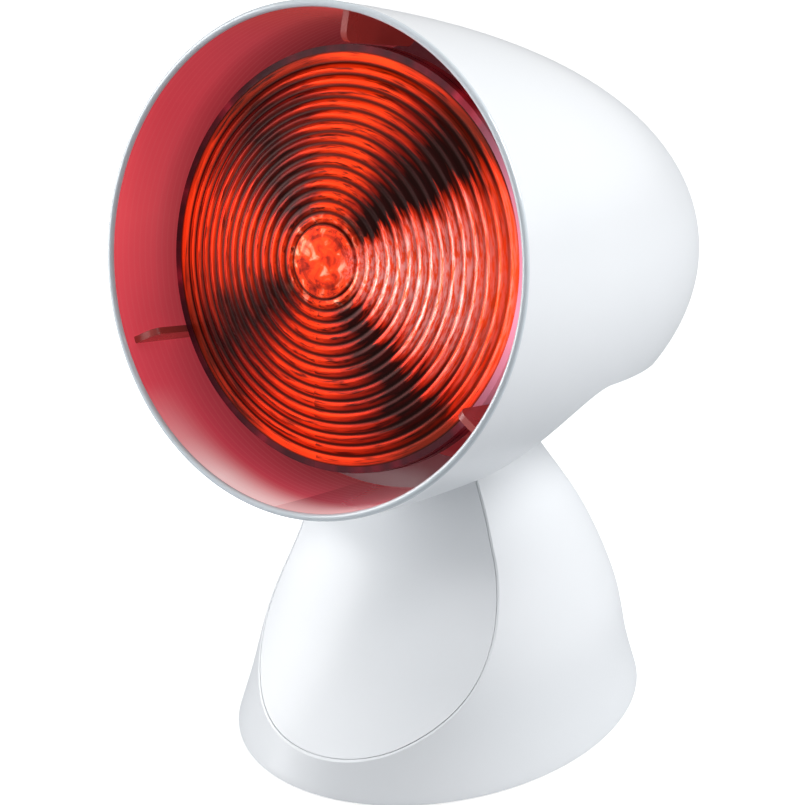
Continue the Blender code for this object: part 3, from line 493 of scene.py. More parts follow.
def headCurve(inset, steps):  # (radius, depth) from the rim to the tip, moved inwards
    length = headShape["length"]
    points = []
    for i in range(steps + 1):
        depth = length * math.sin(math.pi / 2 * i / steps)
        before, after = max(0.0, depth - 0.0002), min(length, depth + 0.0002)
        along = Vector((headRadius(after) - headRadius(before), after - before)).normalized()
        points.append((headRadius(depth) - inset * along.y, depth + inset * along.x))
    points[0] = (points[0][0], 0.0)
    points[-1] = (0.0, length - inset)
    return [p for i, p in enumerate(points) if i in (0, steps) or p[0] > inset]


def headSolid(name, inset, steps=84):
    return drawn(name, lathe([(0, 0)] + [(r, -d) for r, d in headCurve(inset, steps)], headShape["sides"]))


notchShape = {"start": 0.045, "run": 0.033, "roofDrop": 0.0278, "mouthDrop": 0.070, "fall": 0.0014, "wall": 0.0022,
              "below": 0.004, "bendShare": 8 / 13, "fallShare": 10 / 13, "lampAir": 0.0025}


def notchPath(share):  # depth and height of the roof of the cut-out, from its mouth to the back of the head
    bend, drop, mouth = notchShape["bendShare"], notchShape["roofDrop"], notchShape["mouthDrop"]
    end = notchShape["start"] + notchShape["run"]
    if share < bend:
        angle = math.pi / 2 * share / bend
        return (end - notchShape["run"] * math.cos(angle), (mouth - drop) * math.sin(angle) - mouth)
    fall = max(0.0, (share - notchShape["fallShare"]) / (1 - notchShape["fallShare"]))
    return (end + (headShape["length"] - end) * (share - bend) / (1 - bend), -drop - notchShape["fall"] * fall)


ventShape = {"Slot height": 0.003, "Circle": 0.031, "Depth": 0.032, "Corner": 0.0014}
ventRows = (0.78, 0.55, 0.32, -0.32, -0.55)


def ventTree():  # a rounded slot at each point, as long as the chord of the vent circle there
    tree, add, given, result = newTree("ventSlots", ventShape)
    wide = add("Math", (given["Circle"], 2.0), "MULTIPLY")
    slot = roundedBlock(add, wide, given["Slot height"], given["Corner"], given["Depth"], 6)
    spot = add("SeparateXYZ", (add("InputPosition"),))
    share = add("Math", (spot.outputs["Y"], given["Circle"]), "DIVIDE")
    square = add("Math", (share, share), "MULTIPLY")
    rest = add("Math", (1.0, square), "SUBTRACT")
    chord = add("Math", (rest,), "SQRT")
    size = add("CombineXYZ", (chord, 1.0, 1.0))
    points = add("MeshToPoints", {"Mesh": given["Geometry"]})
    copies = add("InstanceOnPoints", {"Points": points, "Instance": slot, "Scale": size})
    dress(add, copies, mattAbs, result)
    return tree


def makeHeadShell():
    wall, bead = headShape["wall"], headShape["wall"] / 2
    outside = [(r, -d) for r, d in headCurve(0.0, headShape["steps"]) if d > 2 * bead]
    inside = [(r, -d) for r, d in headCurve(wall, headShape["steps"]) if d > 2 * bead]
    rim = [(headShape["rim"] - bead + bead * math.cos(t), -bead + bead * math.sin(t))
           for t in (math.pi * (1 - i / 12) for i in range(13))]
    shell = drawn("headShell", lathe(list(reversed(inside)) + rim + outside, headShape["sides"]))
    below = headShape["rim"] + notchShape["below"]
    path = [notchPath(notchShape["bendShare"] * i / 40) for i in range(41)]
    back, flatEnd = notchPath(1.0), notchPath(notchShape["fallShare"])
    far = 2 * back[0] - flatEnd[0]
    outline = [(notchShape["start"], -below)] + path + [flatEnd, (far, 2 * back[1] - flatEnd[1]), (far, -below)]
    notch = drawn("notch", prism(outline, 2 * below, acrossHead))
    spots = bmesh.new()
    for share in ventRows:
        spots.verts.new((0, share * ventShape["Circle"], -headShape["length"] - ventShape["Depth"] / 2))
    slots = grow(drawn("slots", spots, fair=False), ventTree(), ventShape)
    carve(shell, [notch, slots])
    shell.data.materials.clear()
    for material in (glossAbs, rimAbs, shadeAbs, mattAbs):
        shell.data.materials.append(material)
    for face in shell.data.polygons:
        centre = face.center
        depth, radius = -centre.z, math.hypot(centre.x, centre.y)
        inner = radius < headRadius(max(0.0, depth)) - wall * 0.6
        if depth < 2 * bead and not (inner and depth > bead):
            face.material_index = 1
        elif inner:  # the edges of the cut-out stay white
            facing = (face.normal.x * centre.x + face.normal.y * centre.y) / max(radius, 0.001)
            face.material_index = 2 if depth < headShape["redDepth"] and facing < -0.4 else 3
        else:
            face.material_index = 0
    return settle(shell, (), "head", headPlace, ["head_shell"], 30)


ribShape = {"Count": 3, "Inside": 0.061, "Height": 0.016, "Start": 0.0045, "End": 0.038, "Corner": 0.003,
            "Thickness": 0.002}


def bladeTree():  # blades stood round the lamp, clear of its flange
    tree, add, given, result = newTree("shadeRibs", ribShape)
    long = add("Math", (given["End"], given["Start"]), "SUBTRACT")
    blade = roundedBlock(add, given["Height"], long, given["Corner"], given["Thickness"], 8)
    half = add("Math", (given["Height"], 2.0), "DIVIDE")
    out = add("Math", (given["Inside"], half), "ADD")
    both = add("Math", (given["Start"], given["End"]), "ADD")
    deep = add("Math", (both, -0.5), "MULTIPLY")
    side = add("Math", (given["Thickness"], 0.5), "MULTIPLY")
    place = add("CombineXYZ", (out, side, deep))
    stood = add("Transform", {"Geometry": blade, "Rotation": (math.pi / 2, 0, 0), "Translation": place})
    index = add("InputIndex")
    step = add("Math", (2 * math.pi, given["Count"]), "DIVIDE")
    angle = add("Math", (index, step, math.pi / 2), "MULTIPLY_ADD")
    turn = add("CombineXYZ", (0.0, 0.0, angle))
    points = add("Points", {"Count": given["Count"]})
    copies = add("InstanceOnPoints", {"Points": points, "Instance": stood, "Rotation": turn})
    dress(add, copies, ribAbs, result)
    return tree


def makeRibs():
    ribs = grow(drawn("shadeRibs", bmesh.new()), bladeTree(), ribShape)
    limit = headSolid("rib limit", headShape["wall"] / 2, 60)
    carve(ribs, [limit], "INTERSECT")
    return settle(ribs, [ribAbs], "head", headPlace)


makeHeadShell()
makeRibs()
print("head shell and ribs ready")


# Reflector lamp

def bowlInner(depth):
    start = lampShape["flangeDepth"] + lampShape["edge"] + lampShape["gap"]
    return lampShape["mouth"] * math.sqrt(max(0.0, 1 - (depth - start) / lampShape["bowlDepth"]))


def lampRadius(depth):
    return max(bowlInner(depth) + lampShape["bowlGlass"], lampShape["neck"])


lensShape = {"Lens radius": lampShape["lens"], "Flange radius": lampShape["flange"],
             "Flange depth": lampShape["flangeDepth"], "Rise": lampShape["rise"], "Glass": lampShape["glass"],
             "Edge": lampShape["edge"], "Ring start": lampShape["ringStart"], "Ring pitch": lampShape["ringPitch"],
             "Ring height": lampShape["ringHeight"], "Front share": 0.88, "Steps": 260, "Spokes": 144}


def lensTree():  # a grid rolled up round the lamp's axis: front rings first, then round the flange and back inside
    tree, add, given, result = newTree("ringedLens", lensShape)
    around = add("Math", (given["Spokes"], 1.0), "ADD")
    grid = add("MeshGrid", {"Size X": 1.0, "Size Y": 1.0, "Vertices X": given["Steps"], "Vertices Y": around})
    spot = add("SeparateXYZ", (add("InputPosition"),))
    along = add("Math", (spot.outputs["X"], 0.5), "ADD")
    angle = add("Math", (spot.outputs["Y"], 2 * math.pi), "MULTIPLY")
    onFront = add("Math", (along, given["Front share"]), "LESS_THAN")
    frontShare = add("Math", (along, given["Front share"]), "DIVIDE", use_clamp=True)
    left = add("Math", (1.0, along), "SUBTRACT")
    room = add("Math", (1.0, given["Front share"]), "SUBTRACT")
    backShare = add("Math", (left, room), "DIVIDE", use_clamp=True)
    share = add("Math", (frontShare, backShare), "MULTIPLY")
    radius = add("Math", (share, given["Flange radius"]), "MULTIPLY")
    fraction = add("Math", (radius, given["Lens radius"]), "DIVIDE", use_clamp=True)
    square = add("Math", (fraction, fraction), "MULTIPLY")
    rest = add("Math", (1.0, square), "SUBTRACT")
    dome = add("Math", (rest, given["Rise"]), "MULTIPLY")
    surface = add("Math", (given["Flange depth"], dome), "SUBTRACT")
    past = add("Math", (radius, given["Ring start"]), "SUBTRACT")
    turns = add("Math", (past, given["Ring pitch"]), "DIVIDE")
    phase = add("Math", (turns, 2 * math.pi), "MULTIPLY")
    wave = add("Math", (phase,), "COSINE")
    lifted = add("Math", (wave, 0.5, 0.5), "MULTIPLY_ADD")
    started = add("Math", (radius, given["Ring start"]), "GREATER_THAN")
    inLens = add("Math", (radius, given["Lens radius"]), "LESS_THAN")
    ringed = add("Math", (started, inLens), "MULTIPLY")
    ripple = add("Math", (lifted, ringed), "MULTIPLY")
    cut = add("Math", (ripple, given["Ring height"]), "MULTIPLY")
    front = add("Math", (surface, cut), "ADD")
    onBack = add("Math", (1.0, onFront), "SUBTRACT")
    seat = add("Math", (inLens, given["Glass"]), "MULTIPLY")
    outer = add("Math", (1.0, inLens), "SUBTRACT")
    flange = add("Math", (outer, given["Edge"]), "MULTIPLY")
    thick = add("Math", (seat, flange), "ADD")
    limit = add("Math", (given["Flange depth"], given["Edge"]), "ADD")
    behind = add("Math", (surface, thick), "ADD")
    level = add("Math", (behind, limit), "MINIMUM")
    one = add("Math", (front, onFront), "MULTIPLY")
    two = add("Math", (level, onBack), "MULTIPLY")
    depth = add("Math", (one, two), "ADD")
    down = add("Math", (depth, -1.0), "MULTIPLY")
    cosine = add("Math", (angle,), "COSINE")
    sine = add("Math", (angle,), "SINE")
    x = add("Math", (radius, cosine), "MULTIPLY")
    y = add("Math", (radius, sine), "MULTIPLY")
    target = add("CombineXYZ", (x, y, down))
    rolled = add("SetPosition", {"Geometry": grid.outputs["Mesh"], "Position": target})
    closed = add("MergeByDistance", {"Geometry": rolled, "Distance": weldGap})
    dress(add, closed, rubyLens, result)
    return tree


def makeLens():
    lens = grow(drawn("lampLens", bmesh.new()), lensTree(), lensShape)
    shape = bmesh.new()
    shape.from_mesh(lens.data)
    bmesh.ops.recalc_face_normals(shape, faces=shape.faces)
    shape.to_mesh(lens.data)
    shape.free()
    lens.data.materials.clear()
    for material in (rubyLens, rubyFlange):
        lens.data.materials.append(material)
    for face in lens.data.polygons:
        face.material_index = int(math.hypot(face.center.x, face.center.y) > lampShape["crimsonFrom"])
    return settle(lens, (), "head", headPlace, ["lamp_lens"], 40)


def makeReflector():
    seat = lampShape["flangeDepth"] + lampShape["edge"] + lampShape["gap"]
    flange, bowl = lampShape["flange"], lampShape["bowlDepth"]
    inner = [(bowlInner(seat + bowl * (1 - (i / 40) ** 2)), -seat - bowl * (1 - (i / 40) ** 2)) for i in range(41)]
    back = lampShape["flangeDepth"] + lampShape["flangeThickness"]
    outer = [(flange, -seat), (flange, -back)]
    outer += [(lampRadius(d), -d) for d in (back + (bowl - 0.007) * i / 36 for i in range(1, 36))]
    outer += [(lampShape["neck"], -seat - bowl), (lampShape["neck"], -lampShape["neckEnd"] + lampShape["shoulder"]),
              (lampShape["cap"], -lampShape["neckEnd"]), (0, -lampShape["neckEnd"])]
    bowlPiece = drawn("lampReflector", lathe(inner + outer, 128))
    return settle(bowlPiece, [rubyFlange], "head", headPlace, ["lamp_reflector"], 30)


makeLens()
makeReflector()
print("lamp ready")


# Underside cover of the head

def roofPoint(u, v):
    x = (2 * u - 1) * headShape["rim"]
    depth, height = notchPath(v)
    clear = lampRadius(depth - notchShape["wall"]) + notchShape["lampAir"] + notchShape["wall"]
    if abs(x) < clear:
        height = min(height, -math.sqrt(clear ** 2 - x ** 2))
    return Vector((x, height, -depth))


coverShape = {"columns": 97, "rows": 105, "screwBack": 0.0145, "screwSide": 0.009, "hole": 0.0019, "holeLength": 0.008}


def makeCover():
    cover = drawn("undersideCover", sheet(roofPoint, coverShape["columns"], coverShape["rows"], None))
    if sum(face.normal.y for face in cover.data.polygons) > 0:
        cover.data.flip_normals()
    step = cover.modifiers.new("wall", "SOLIDIFY")
    step.thickness = notchShape["wall"]
    step.offset = -1.0
    bake(cover)
    carve(cover, [headSolid("cover limit", headShape["wall"] + touch, 60)], "INTERSECT")
    side, depth = coverShape["screwSide"], hingeShape["depth"] + coverShape["screwBack"]
    holes = [drawn("cover hole", rod(coverShape["hole"], coverShape["holeLength"],
                                     Matrix.Translation((x, -notchShape["roofDrop"], -depth)) @ alongY))
             for x in (-side, side)]
    carve(cover, holes)
    cover.data.materials.clear()
    cover.data.materials.append(satinAbs)
    cover.data.materials.append(shadeAbs)
    for face in cover.data.polygons:  # its top takes up the lamp's light
        inward = face.normal.y > 0.3 or face.normal.dot(Vector((-face.center.x, -face.center.y, 0))) > 0.02
        face.material_index = int(inward)
    return settle(cover, (), "head", headPlace, ["underside_cover"], 30)


makeCover()
print("underside cover ready")


# Foot

footShape = {"lift": 0.001, "height": 0.0935, "halfWidth": 0.0592, "halfLength": 0.0747, "wall": 0.0025,
             "edge": 0.0004, "shoulder": 0.003, "sides": 224, "rows": 72}
footRows = ((0.0, 1.0, 1.0, 0.0), (0.15, 0.943, 0.928, 0.004), (0.374, 0.872, 0.838, 0.017),
            (0.642, 0.72, 0.673, 0.013), (0.909, 0.566, 0.513, -0.087), (1.0, 0.512, 0.462, -0.124))
panelShape = {"thickness": 0.0022, "lip": 0.0006, "gap": 0.0002, "bow": 0.075, "reachSide": 0.046, "rowPower": 1.4,
              "cutDepth": 0.06, "prism": 0.16}
panelRows = ((0.06, -1.012), (0.107, -0.944), (0.139, -0.901), (0.171, -0.862), (0.235, -0.789), (0.299, -0.722),
             (0.364, -0.66), (0.428, -0.601), (0.492, -0.544), (0.556, -0.495), (0.62, -0.456), (0.684, -0.43),
             (0.749, -0.416), (0.845, -0.4), (0.973, -0.386), (1.06, -0.38))


def smoothRow(table, at, column):  # reads a column along a smooth curve through the rows
    rows = [(row[0], row[column]) for row in table]
    last = len(rows) - 1
    i = 0
    while i < last - 1 and at > rows[i + 1][0]:
        i += 1

    def slope(k):
        low, high = rows[max(k - 1, 0)], rows[min(k + 1, last)]
        return (high[1] - low[1]) / (high[0] - low[0])

    span = rows[i + 1][0] - rows[i][0]
    t = (at - rows[i][0]) / span
    if t < 0:
        return rows[i][1] + slope(0) * (at - rows[i][0])
    if t > 1:
        return rows[i + 1][1] + slope(last) * (at - rows[i + 1][0])
    return ((1 + 2 * t) * (1 - t) ** 2 * rows[i][1] + t * (1 - t) ** 2 * span * slope(i)
            + t * t * (3 - 2 * t) * rows[i + 1][1] + t * t * (t - 1) * span * slope(i + 1))


def footRing(height, inset):
    share = height / footShape["height"]
    return (footShape["lift"] + height, footShape["halfWidth"] * smoothRow(footRows, share, 1) - inset,
            footShape["halfLength"] * smoothRow(footRows, share, 2) - inset,
            footShape["halfLength"] * smoothRow(footRows, share, 3))


def footSolid(name, inset, low, high, sides, rows, edge=0.0, shoulder=0.0):
    rings = [footRing(low + edge * (1 - math.cos(t)), inset + edge * (1 - math.sin(t)))
             for t in (math.pi / 2 * i / 4 for i in range(4))] if edge else []
    first, last = low + edge, high - shoulder
    rings += [footRing(first + (last - first) * i / rows, inset) for i in range(rows + 1)]
    for i in range(1, 13) if shoulder else ():
        angle = math.pi / 2 * i / 12
        rings.append(footRing(last + shoulder * math.sin(angle), inset + shoulder * (1 - math.cos(angle))))
    shape = bmesh.new()
    loops = [[shape.verts.new((wide * math.sin(2 * math.pi * i / sides),
                               centre - long * math.cos(2 * math.pi * i / sides), height)) for i in range(sides)]
             for height, wide, long, centre in rings]
    for below, above in zip(loops, loops[1:]):
        for i in range(sides):
            j = (i + 1) % sides
            shape.faces.new((below[i], below[j], above[j], above[i]))
    shape.faces.new(reversed(loops[0]))
    shape.faces.new(loops[-1])
    return drawn(name, shape)


def panelFace(u, v, setback):
    x = (2 * u - 1) * panelShape["reachSide"]
    low, high = panelRows[0][0], panelRows[-1][0]
    share = low + (high - low) * v ** panelShape["rowPower"]
    y = footShape["halfLength"] * smoothRow(panelRows, share, 1) + x * x / (2 * panelShape["bow"])
    return Vector((x, y + setback, footShape["lift"] + share * footShape["height"]))


def panelSlab(name, setback, reach):
    return drawn(name, sheet(lambda u, v: panelFace(u, v, setback), 81, 121, (0, reach, 0)))


def panelEdge(share):  # half the panel's width where its face meets the foot
    _, wide, long, centre = footRing(share * footShape["height"], 0.0)
    middle = footShape["halfLength"] * smoothRow(panelRows, share, 1)
    if middle < centre - long:
        return 0.0
    low, high = 0.0, wide
    for _ in range(30):
        x = (low + high) / 2
        front = centre - long * math.sqrt(1 - (x / wide) ** 2)
        low, high = (x, high) if middle + x * x / (2 * panelShape["bow"]) > front else (low, x)
    return low


def panelPrism(name, inset, points=96):  # the panel's outline as a block that runs back through the foot
    top = 1 - footShape["shoulder"] / footShape["height"]
    start, stop = panelRows[0][0], panelRows[4][0]
    for _ in range(40):
        middle = (start + stop) / 2
        start, stop = (start, middle) if panelEdge(middle) > 0 else (middle, stop)
    side = []
    for i in range(points + 1):
        share = stop + (top - stop) * (1 - math.cos(math.pi / 2 * i / points))
        side.append((panelEdge(share), footShape["lift"] + share * footShape["height"]))
    side[0] = (0.0, side[0][1])
    moved = [(0.0, side[0][1] + inset)]
    for before, here, after in zip(side, side[1:], side[2:]):
        along = Vector((after[0] - before[0], after[1] - before[1])).normalized()
        moved.append((here[0] - inset * along.y, here[1] + inset * along.x))
    moved.append((moved[-1][0] + side[-1][0] - side[-2][0], side[-1][1] - max(0.0, inset - panelShape["lip"])))
    outline = moved + [(-x, z) for x, z in reversed(moved[1:])]
    lie = Matrix(((1, 0, 0, 0), (0, 0, -1, 0), (0, 1, 0, 0), (0, 0, 0, 1)))
    return drawn(name, prism(outline, panelShape["prism"], lie))


entryShape = {"height": 0.017, "bore": 0.0026, "radius": 0.005, "collar": 0.0065, "collarLength": 0.003,
              "length": 0.012, "seat": 0.0015, "sink": 0.008, "hole": 0.03, "lip": 0.001,
              "mouthLip": 0.0008}
switchShape = {"height": 0.040, "bezelWidth": 0.015, "bezelLength": 0.021, "bezel": 0.0017, "recess": 0.0016,
               "caseWidth": 0.013, "caseLength": 0.019, "caseDepth": 0.013, "wall": 0.0008, "rockerDepth": 0.002,
               "halfLength": 0.0079, "halfWidth": 0.0054, "rise": 0.0038, "dip": 0.0012, "root": 0.004,
               "rootLength": 0.0045, "angle": 7, "pin": 0.0011, "gap": 0.0003, "play": 0.0004, "sink": 0.008,
               "window": 0.03, "sinkCorner": 0.0012, "windowCorner": 0.0006, "caseCorner": 0.0004,
               "bezelCorner": 0.0011, "bezelSoft": 0.0003, "rockerSoft": 0.00035, "markAt": 0.0045,
               "barWide": 0.0006, "barLong": 0.0034, "ringOuter": 0.00145, "ringInner": 0.00095, "ink": 0.0002}
knuckleShape = {"radius": 0.0135, "halfWidth": 0.0129, "pocket": 0.012, "pocketEnd": 0.0256, "bore": 0.0033,
                "boreLength": 0.036}


def rearOf(height):
    ring = footRing(height, 0.0)
    return ring[3] + ring[2]


switchRise, leanStep = switchShape["height"] - footShape["lift"], 0.001
switchLean = math.atan2(rearOf(switchRise - leanStep) - rearOf(switchRise + leanStep), 2 * leanStep)
switchNormal = Vector((0, math.cos(switchLean), math.sin(switchLean)))
switchAt = (footPlace.to_translation() + Vector((0, rearOf(switchRise),
                                                 switchShape["height"])) - switchNormal * switchShape["rockerDepth"])
switchPlace = Matrix.Translation(switchAt) @ Matrix.Rotation(switchLean - math.pi / 2, 4, "X")


def makeFoot():
    gap, wall, reach = panelShape["gap"], footShape["wall"], panelShape["cutDepth"]
    shell = footSolid("footShell", 0.0, 0.0, footShape["height"], footShape["sides"], footShape["rows"],
                      footShape["edge"], footShape["shoulder"])
    pocket = panelSlab("pocket", panelShape["thickness"] + gap, -reach)
    carve(pocket, [panelPrism("pocket outline", panelShape["lip"])], "INTERSECT")
    carve(shell, [panelSlab("front cut", 0.0, -reach), pocket])

    hollow = footSolid("hollow", wall, -0.004, footShape["height"] - wall - footShape["shoulder"], 96, 30)
    carve(hollow, [panelSlab("hollow front", panelShape["thickness"] + gap + wall, -reach)])
    carve(shell, [hollow])

    y = hingeShape["setback"]
    low = footShape["height"] - footShape["shoulder"] - wall
    half, radius, height = knuckleShape["halfWidth"], knuckleShape["radius"], hingeAt.z
    neck = drawn("neck", roundedBox(2 * half, 2 * radius, height - low, Matrix.Translation((0, y, (height + low) / 2))))
    hinge = Matrix.Translation((0, y, height)) @ alongX
    knuckle = drawn("knuckle", rod(radius, 2 * half, hinge, 96))
    carve(shell, [neck], "UNION")
    carve(shell, [knuckle], "UNION")
    middle, length = (half + knuckleShape["pocketEnd"]) / 2, knuckleShape["pocketEnd"] - half
    pockets = [drawn("cheek pocket", rod(knuckleShape["pocket"], length,
                                         Matrix.Translation((side * middle, y, height)) @ alongX, 80))
               for side in (-1, 1)]
    bore = drawn("bore", rod(knuckleShape["bore"], knuckleShape["boreLength"], hinge))
    carve(shell, pockets + [bore])

    face = rearOf(entryShape["height"] - footShape["lift"])
    seat = Matrix.Translation((0, face - entryShape["seat"] + entryShape["sink"] / 2, entryShape["height"])) @ alongY
    through = Matrix.Translation((0, face, entryShape["height"])) @ alongY
    carve(shell, [drawn("entry sink", rod(entryShape["collar"] + touch, entryShape["sink"], seat)),
                  drawn("entry hole", rod(entryShape["radius"] + touch, entryShape["hole"], through))])
    local = footPlace.inverted() @ switchPlace
    floor, play = switchShape["rockerDepth"] - switchShape["recess"], 2 * switchShape["play"]
    sink = roundedBox(switchShape["bezelWidth"] + play, switchShape["bezelLength"] + play, switchShape["sink"],
                      local @ Matrix.Translation((0, 0, floor + switchShape["sink"] / 2)), switchShape["sinkCorner"])
    window = roundedBox(switchShape["caseWidth"] + play, switchShape["caseLength"] + play, switchShape["window"],
                        local, switchShape["windowCorner"])
    carve(shell, [drawn("switch sink", sink), drawn("switch window", window)])
    settle(shell, [glossAbs], "foot", footPlace, ["foot_shell"], 14)

    panel = panelSlab("frontPanel", 0.0, panelShape["thickness"])
    carve(panel, [panelPrism("panel outline", panelShape["lip"] + gap)], "INTERSECT")
    return settle(panel, [satinAbs], "foot", footPlace, ["front_panel"], 25)


makeFoot()
print("foot and panel ready")


# Base plate, pads and screws

baseShape = {"recess": 0.002, "thickness": 0.002, "padRadius": 0.007, "padHeight": 0.0027, "padX": 0.036, "padY": 0.1,
             "padEdge": 0.0006, "padDish": 0.0003, "dishRadius": 0.0042, "dishEdge": 0.0046, "screwX": 0.072,
             "screwY": 0.060, "screwSink": 0.0027, "hole": 0.0019, "play": 0.0004, "soft": 0.0003}


def makeBase():
    low, thick = footShape["lift"] + baseShape["recess"], baseShape["thickness"]
    share = baseShape["recess"] / footShape["height"]
    above = share + thick / footShape["height"]
    narrow = footShape["halfWidth"] * (smoothRow(footRows, share, 1) - smoothRow(footRows, above, 1))
    play = footShape["wall"] + baseShape["play"] + narrow
    wide = footShape["halfWidth"] * smoothRow(footRows, share, 1) - play
    long = footShape["halfLength"] * smoothRow(footRows, share, 2) - play
    outline = [(wide * math.sin(2 * math.pi * i / 160), -long * math.cos(2 * math.pi * i / 160)) for i in range(160)]
    plate = drawn("basePlate", prism(outline, thick, Matrix.Translation((0, 0, low + thick / 2))))
    soften(plate, baseShape["soft"], 2)
    holes = [drawn("plate hole", rod(baseShape["hole"], 0.01, Matrix.Translation((x * baseShape["screwX"] / 2,
                                                                                  y * baseShape["screwY"] / 2, low))))
             for x in (-1, 1) for y in (-1, 1)]
    carve(plate, holes)
    settle(plate, [mattAbs], "foot", footPlace, ["base_plate"], 30)

    radius, height, edge, dish = (baseShape[key] for key in ("padRadius", "padHeight", "padEdge", "padDish"))
    soft = [(radius - edge + edge * math.sin(t), edge - edge * math.cos(t))
            for t in (math.pi / 2 * i / 6 for i in range(7))]
    pads = drawn("rubberPads", lathe([(0, dish), (baseShape["dishRadius"], dish), (baseShape["dishEdge"], 0.0)] + soft
                                     + [(radius, height), (0, height)], 48))
    grow(pads, repeatTree("padRow", nitrile), {"Spacing X": baseShape["padX"], "Spacing Y": baseShape["padY"]})
    settle(pads, [nitrile], "foot", footPlace, ["rubber_foot_%d" % i for i in range(1, 5)])


screwShape = {"radius": 0.0016, "head": 0.003, "headHeight": 0.0019, "bite": 0.007, "slot": 0.0007,
              "slotLength": 0.0034, "slotDepth": 0.0011, "crown": 0.55, "threads": 10, "threadStart": 0.0008,
              "threadPitch": 0.0006, "threadDepth": 0.00025, "point": 0.0008}


def panScrew(name):  # head above zero with a cross recess, shank below
    head, tall = screwShape["head"], screwShape["headHeight"]
    radius, pitch, crown = screwShape["radius"], screwShape["threadPitch"], screwShape["crown"]
    dome = [(head * math.sin(t), tall * (1 - crown + crown * math.cos(t)))
            for t in (math.pi / 2 * i / 8 for i in range(9))]
    shank = [(radius, 0.0)]
    for i in range(screwShape["threads"]):
        z = -screwShape["threadStart"] - i * pitch
        shank += [(radius, z), (radius - screwShape["threadDepth"], z - pitch / 2)]
    end = [(screwShape["point"], -screwShape["bite"]), (0, -screwShape["bite"])]
    screw = drawn(name, lathe(dome + [(head, 0.0)] + shank + end, 32))
    slots = [drawn("slot", roundedBox(screwShape["slotLength"], screwShape["slot"], 2 * screwShape["slotDepth"],
                                      Matrix.Translation((0, 0, tall)) @ Matrix.Rotation(t, 4, "Z")))
             for t in (0, math.pi / 2)]
    return carve(screw, slots)


holderShape = {"length": 0.047, "play": 0.0006, "screwApart": 0.045}
bracketShape = {"thickness": 0.0025}
screwSets = {"baseScrews": {"Spacing X": baseShape["screwX"], "Spacing Y": baseShape["screwY"], "Rows": 2},
             "bracketScrews": {"Spacing X": 2 * coverShape["screwSide"], "Rows": 1},
             "holderScrews": {"Spacing X": holderShape["screwApart"], "Rows": 1}}


def makeScrews():
    rowTree = repeatTree("screwRow", zincSteel)
    depth = hingeShape["depth"] + coverShape["screwBack"]
    web = -notchShape["roofDrop"] - touch - bracketShape["thickness"] - touch
    strap = lampShape["neckEnd"] + touch + holderShape["play"] + holderShape["length"] + touch
    faceDown = Matrix.Rotation(math.pi, 4, "X")
    places = {"baseScrews": ("foot", footPlace @ Matrix.Translation((0, 0, baseShape["screwSink"])) @ faceDown,
                             ["base_screw_%d" % i for i in range(1, 5)]),
              "bracketScrews": ("head", headPlace @ Matrix.Translation((0, web, -depth))
                                @ Matrix.Rotation(math.pi / 2, 4, "X"), ["bracket_screw_left", "bracket_screw_right"]),
              "holderScrews": ("head", headPlace @ Matrix.Translation((0, 0, touch - strap)),
                               ["holder_screw_left", "holder_screw_right"])}
    for name, (body, place, nodes) in places.items():
        screws = grow(panScrew(name), rowTree, screwSets[name])
        settle(screws, [zincSteel], body, place, nodes)


makeBase()
makeScrews()
print("base, pads and screws ready")


# Cable entry and rocker switch

def makeEntry():
    collar, length = entryShape["collar"], entryShape["collarLength"]
    lip, mouthLip = entryShape["lip"], entryShape["mouthLip"]
    soft = [(collar - lip + lip * math.sin(t), length - lip + lip * math.cos(t))
            for t in (math.pi / 2 * i / 8 for i in range(9))]
    mouth = [(entryShape["bore"] + mouthLip * (1 - math.sin(t)), length - mouthLip * (1 - math.cos(t)))
             for t in (math.pi / 2 * i / 6 for i in range(7))]
    gland = drawn("cableEntry", lathe(list(reversed(mouth)) + soft + [(collar, touch), (entryShape["radius"], touch),
                                      (entryShape["radius"], -entryShape["length"]),
                                      (entryShape["bore"], -entryShape["length"])], 64, loop=True))
    seat = rearOf(entryShape["height"] - footShape["lift"]) - entryShape["seat"]
    place = footPlace @ Matrix.Translation((0, seat, entryShape["height"])) @ alongY
    settle(gland, [blackNylon], "foot", place, ["cable_entry"], 40)


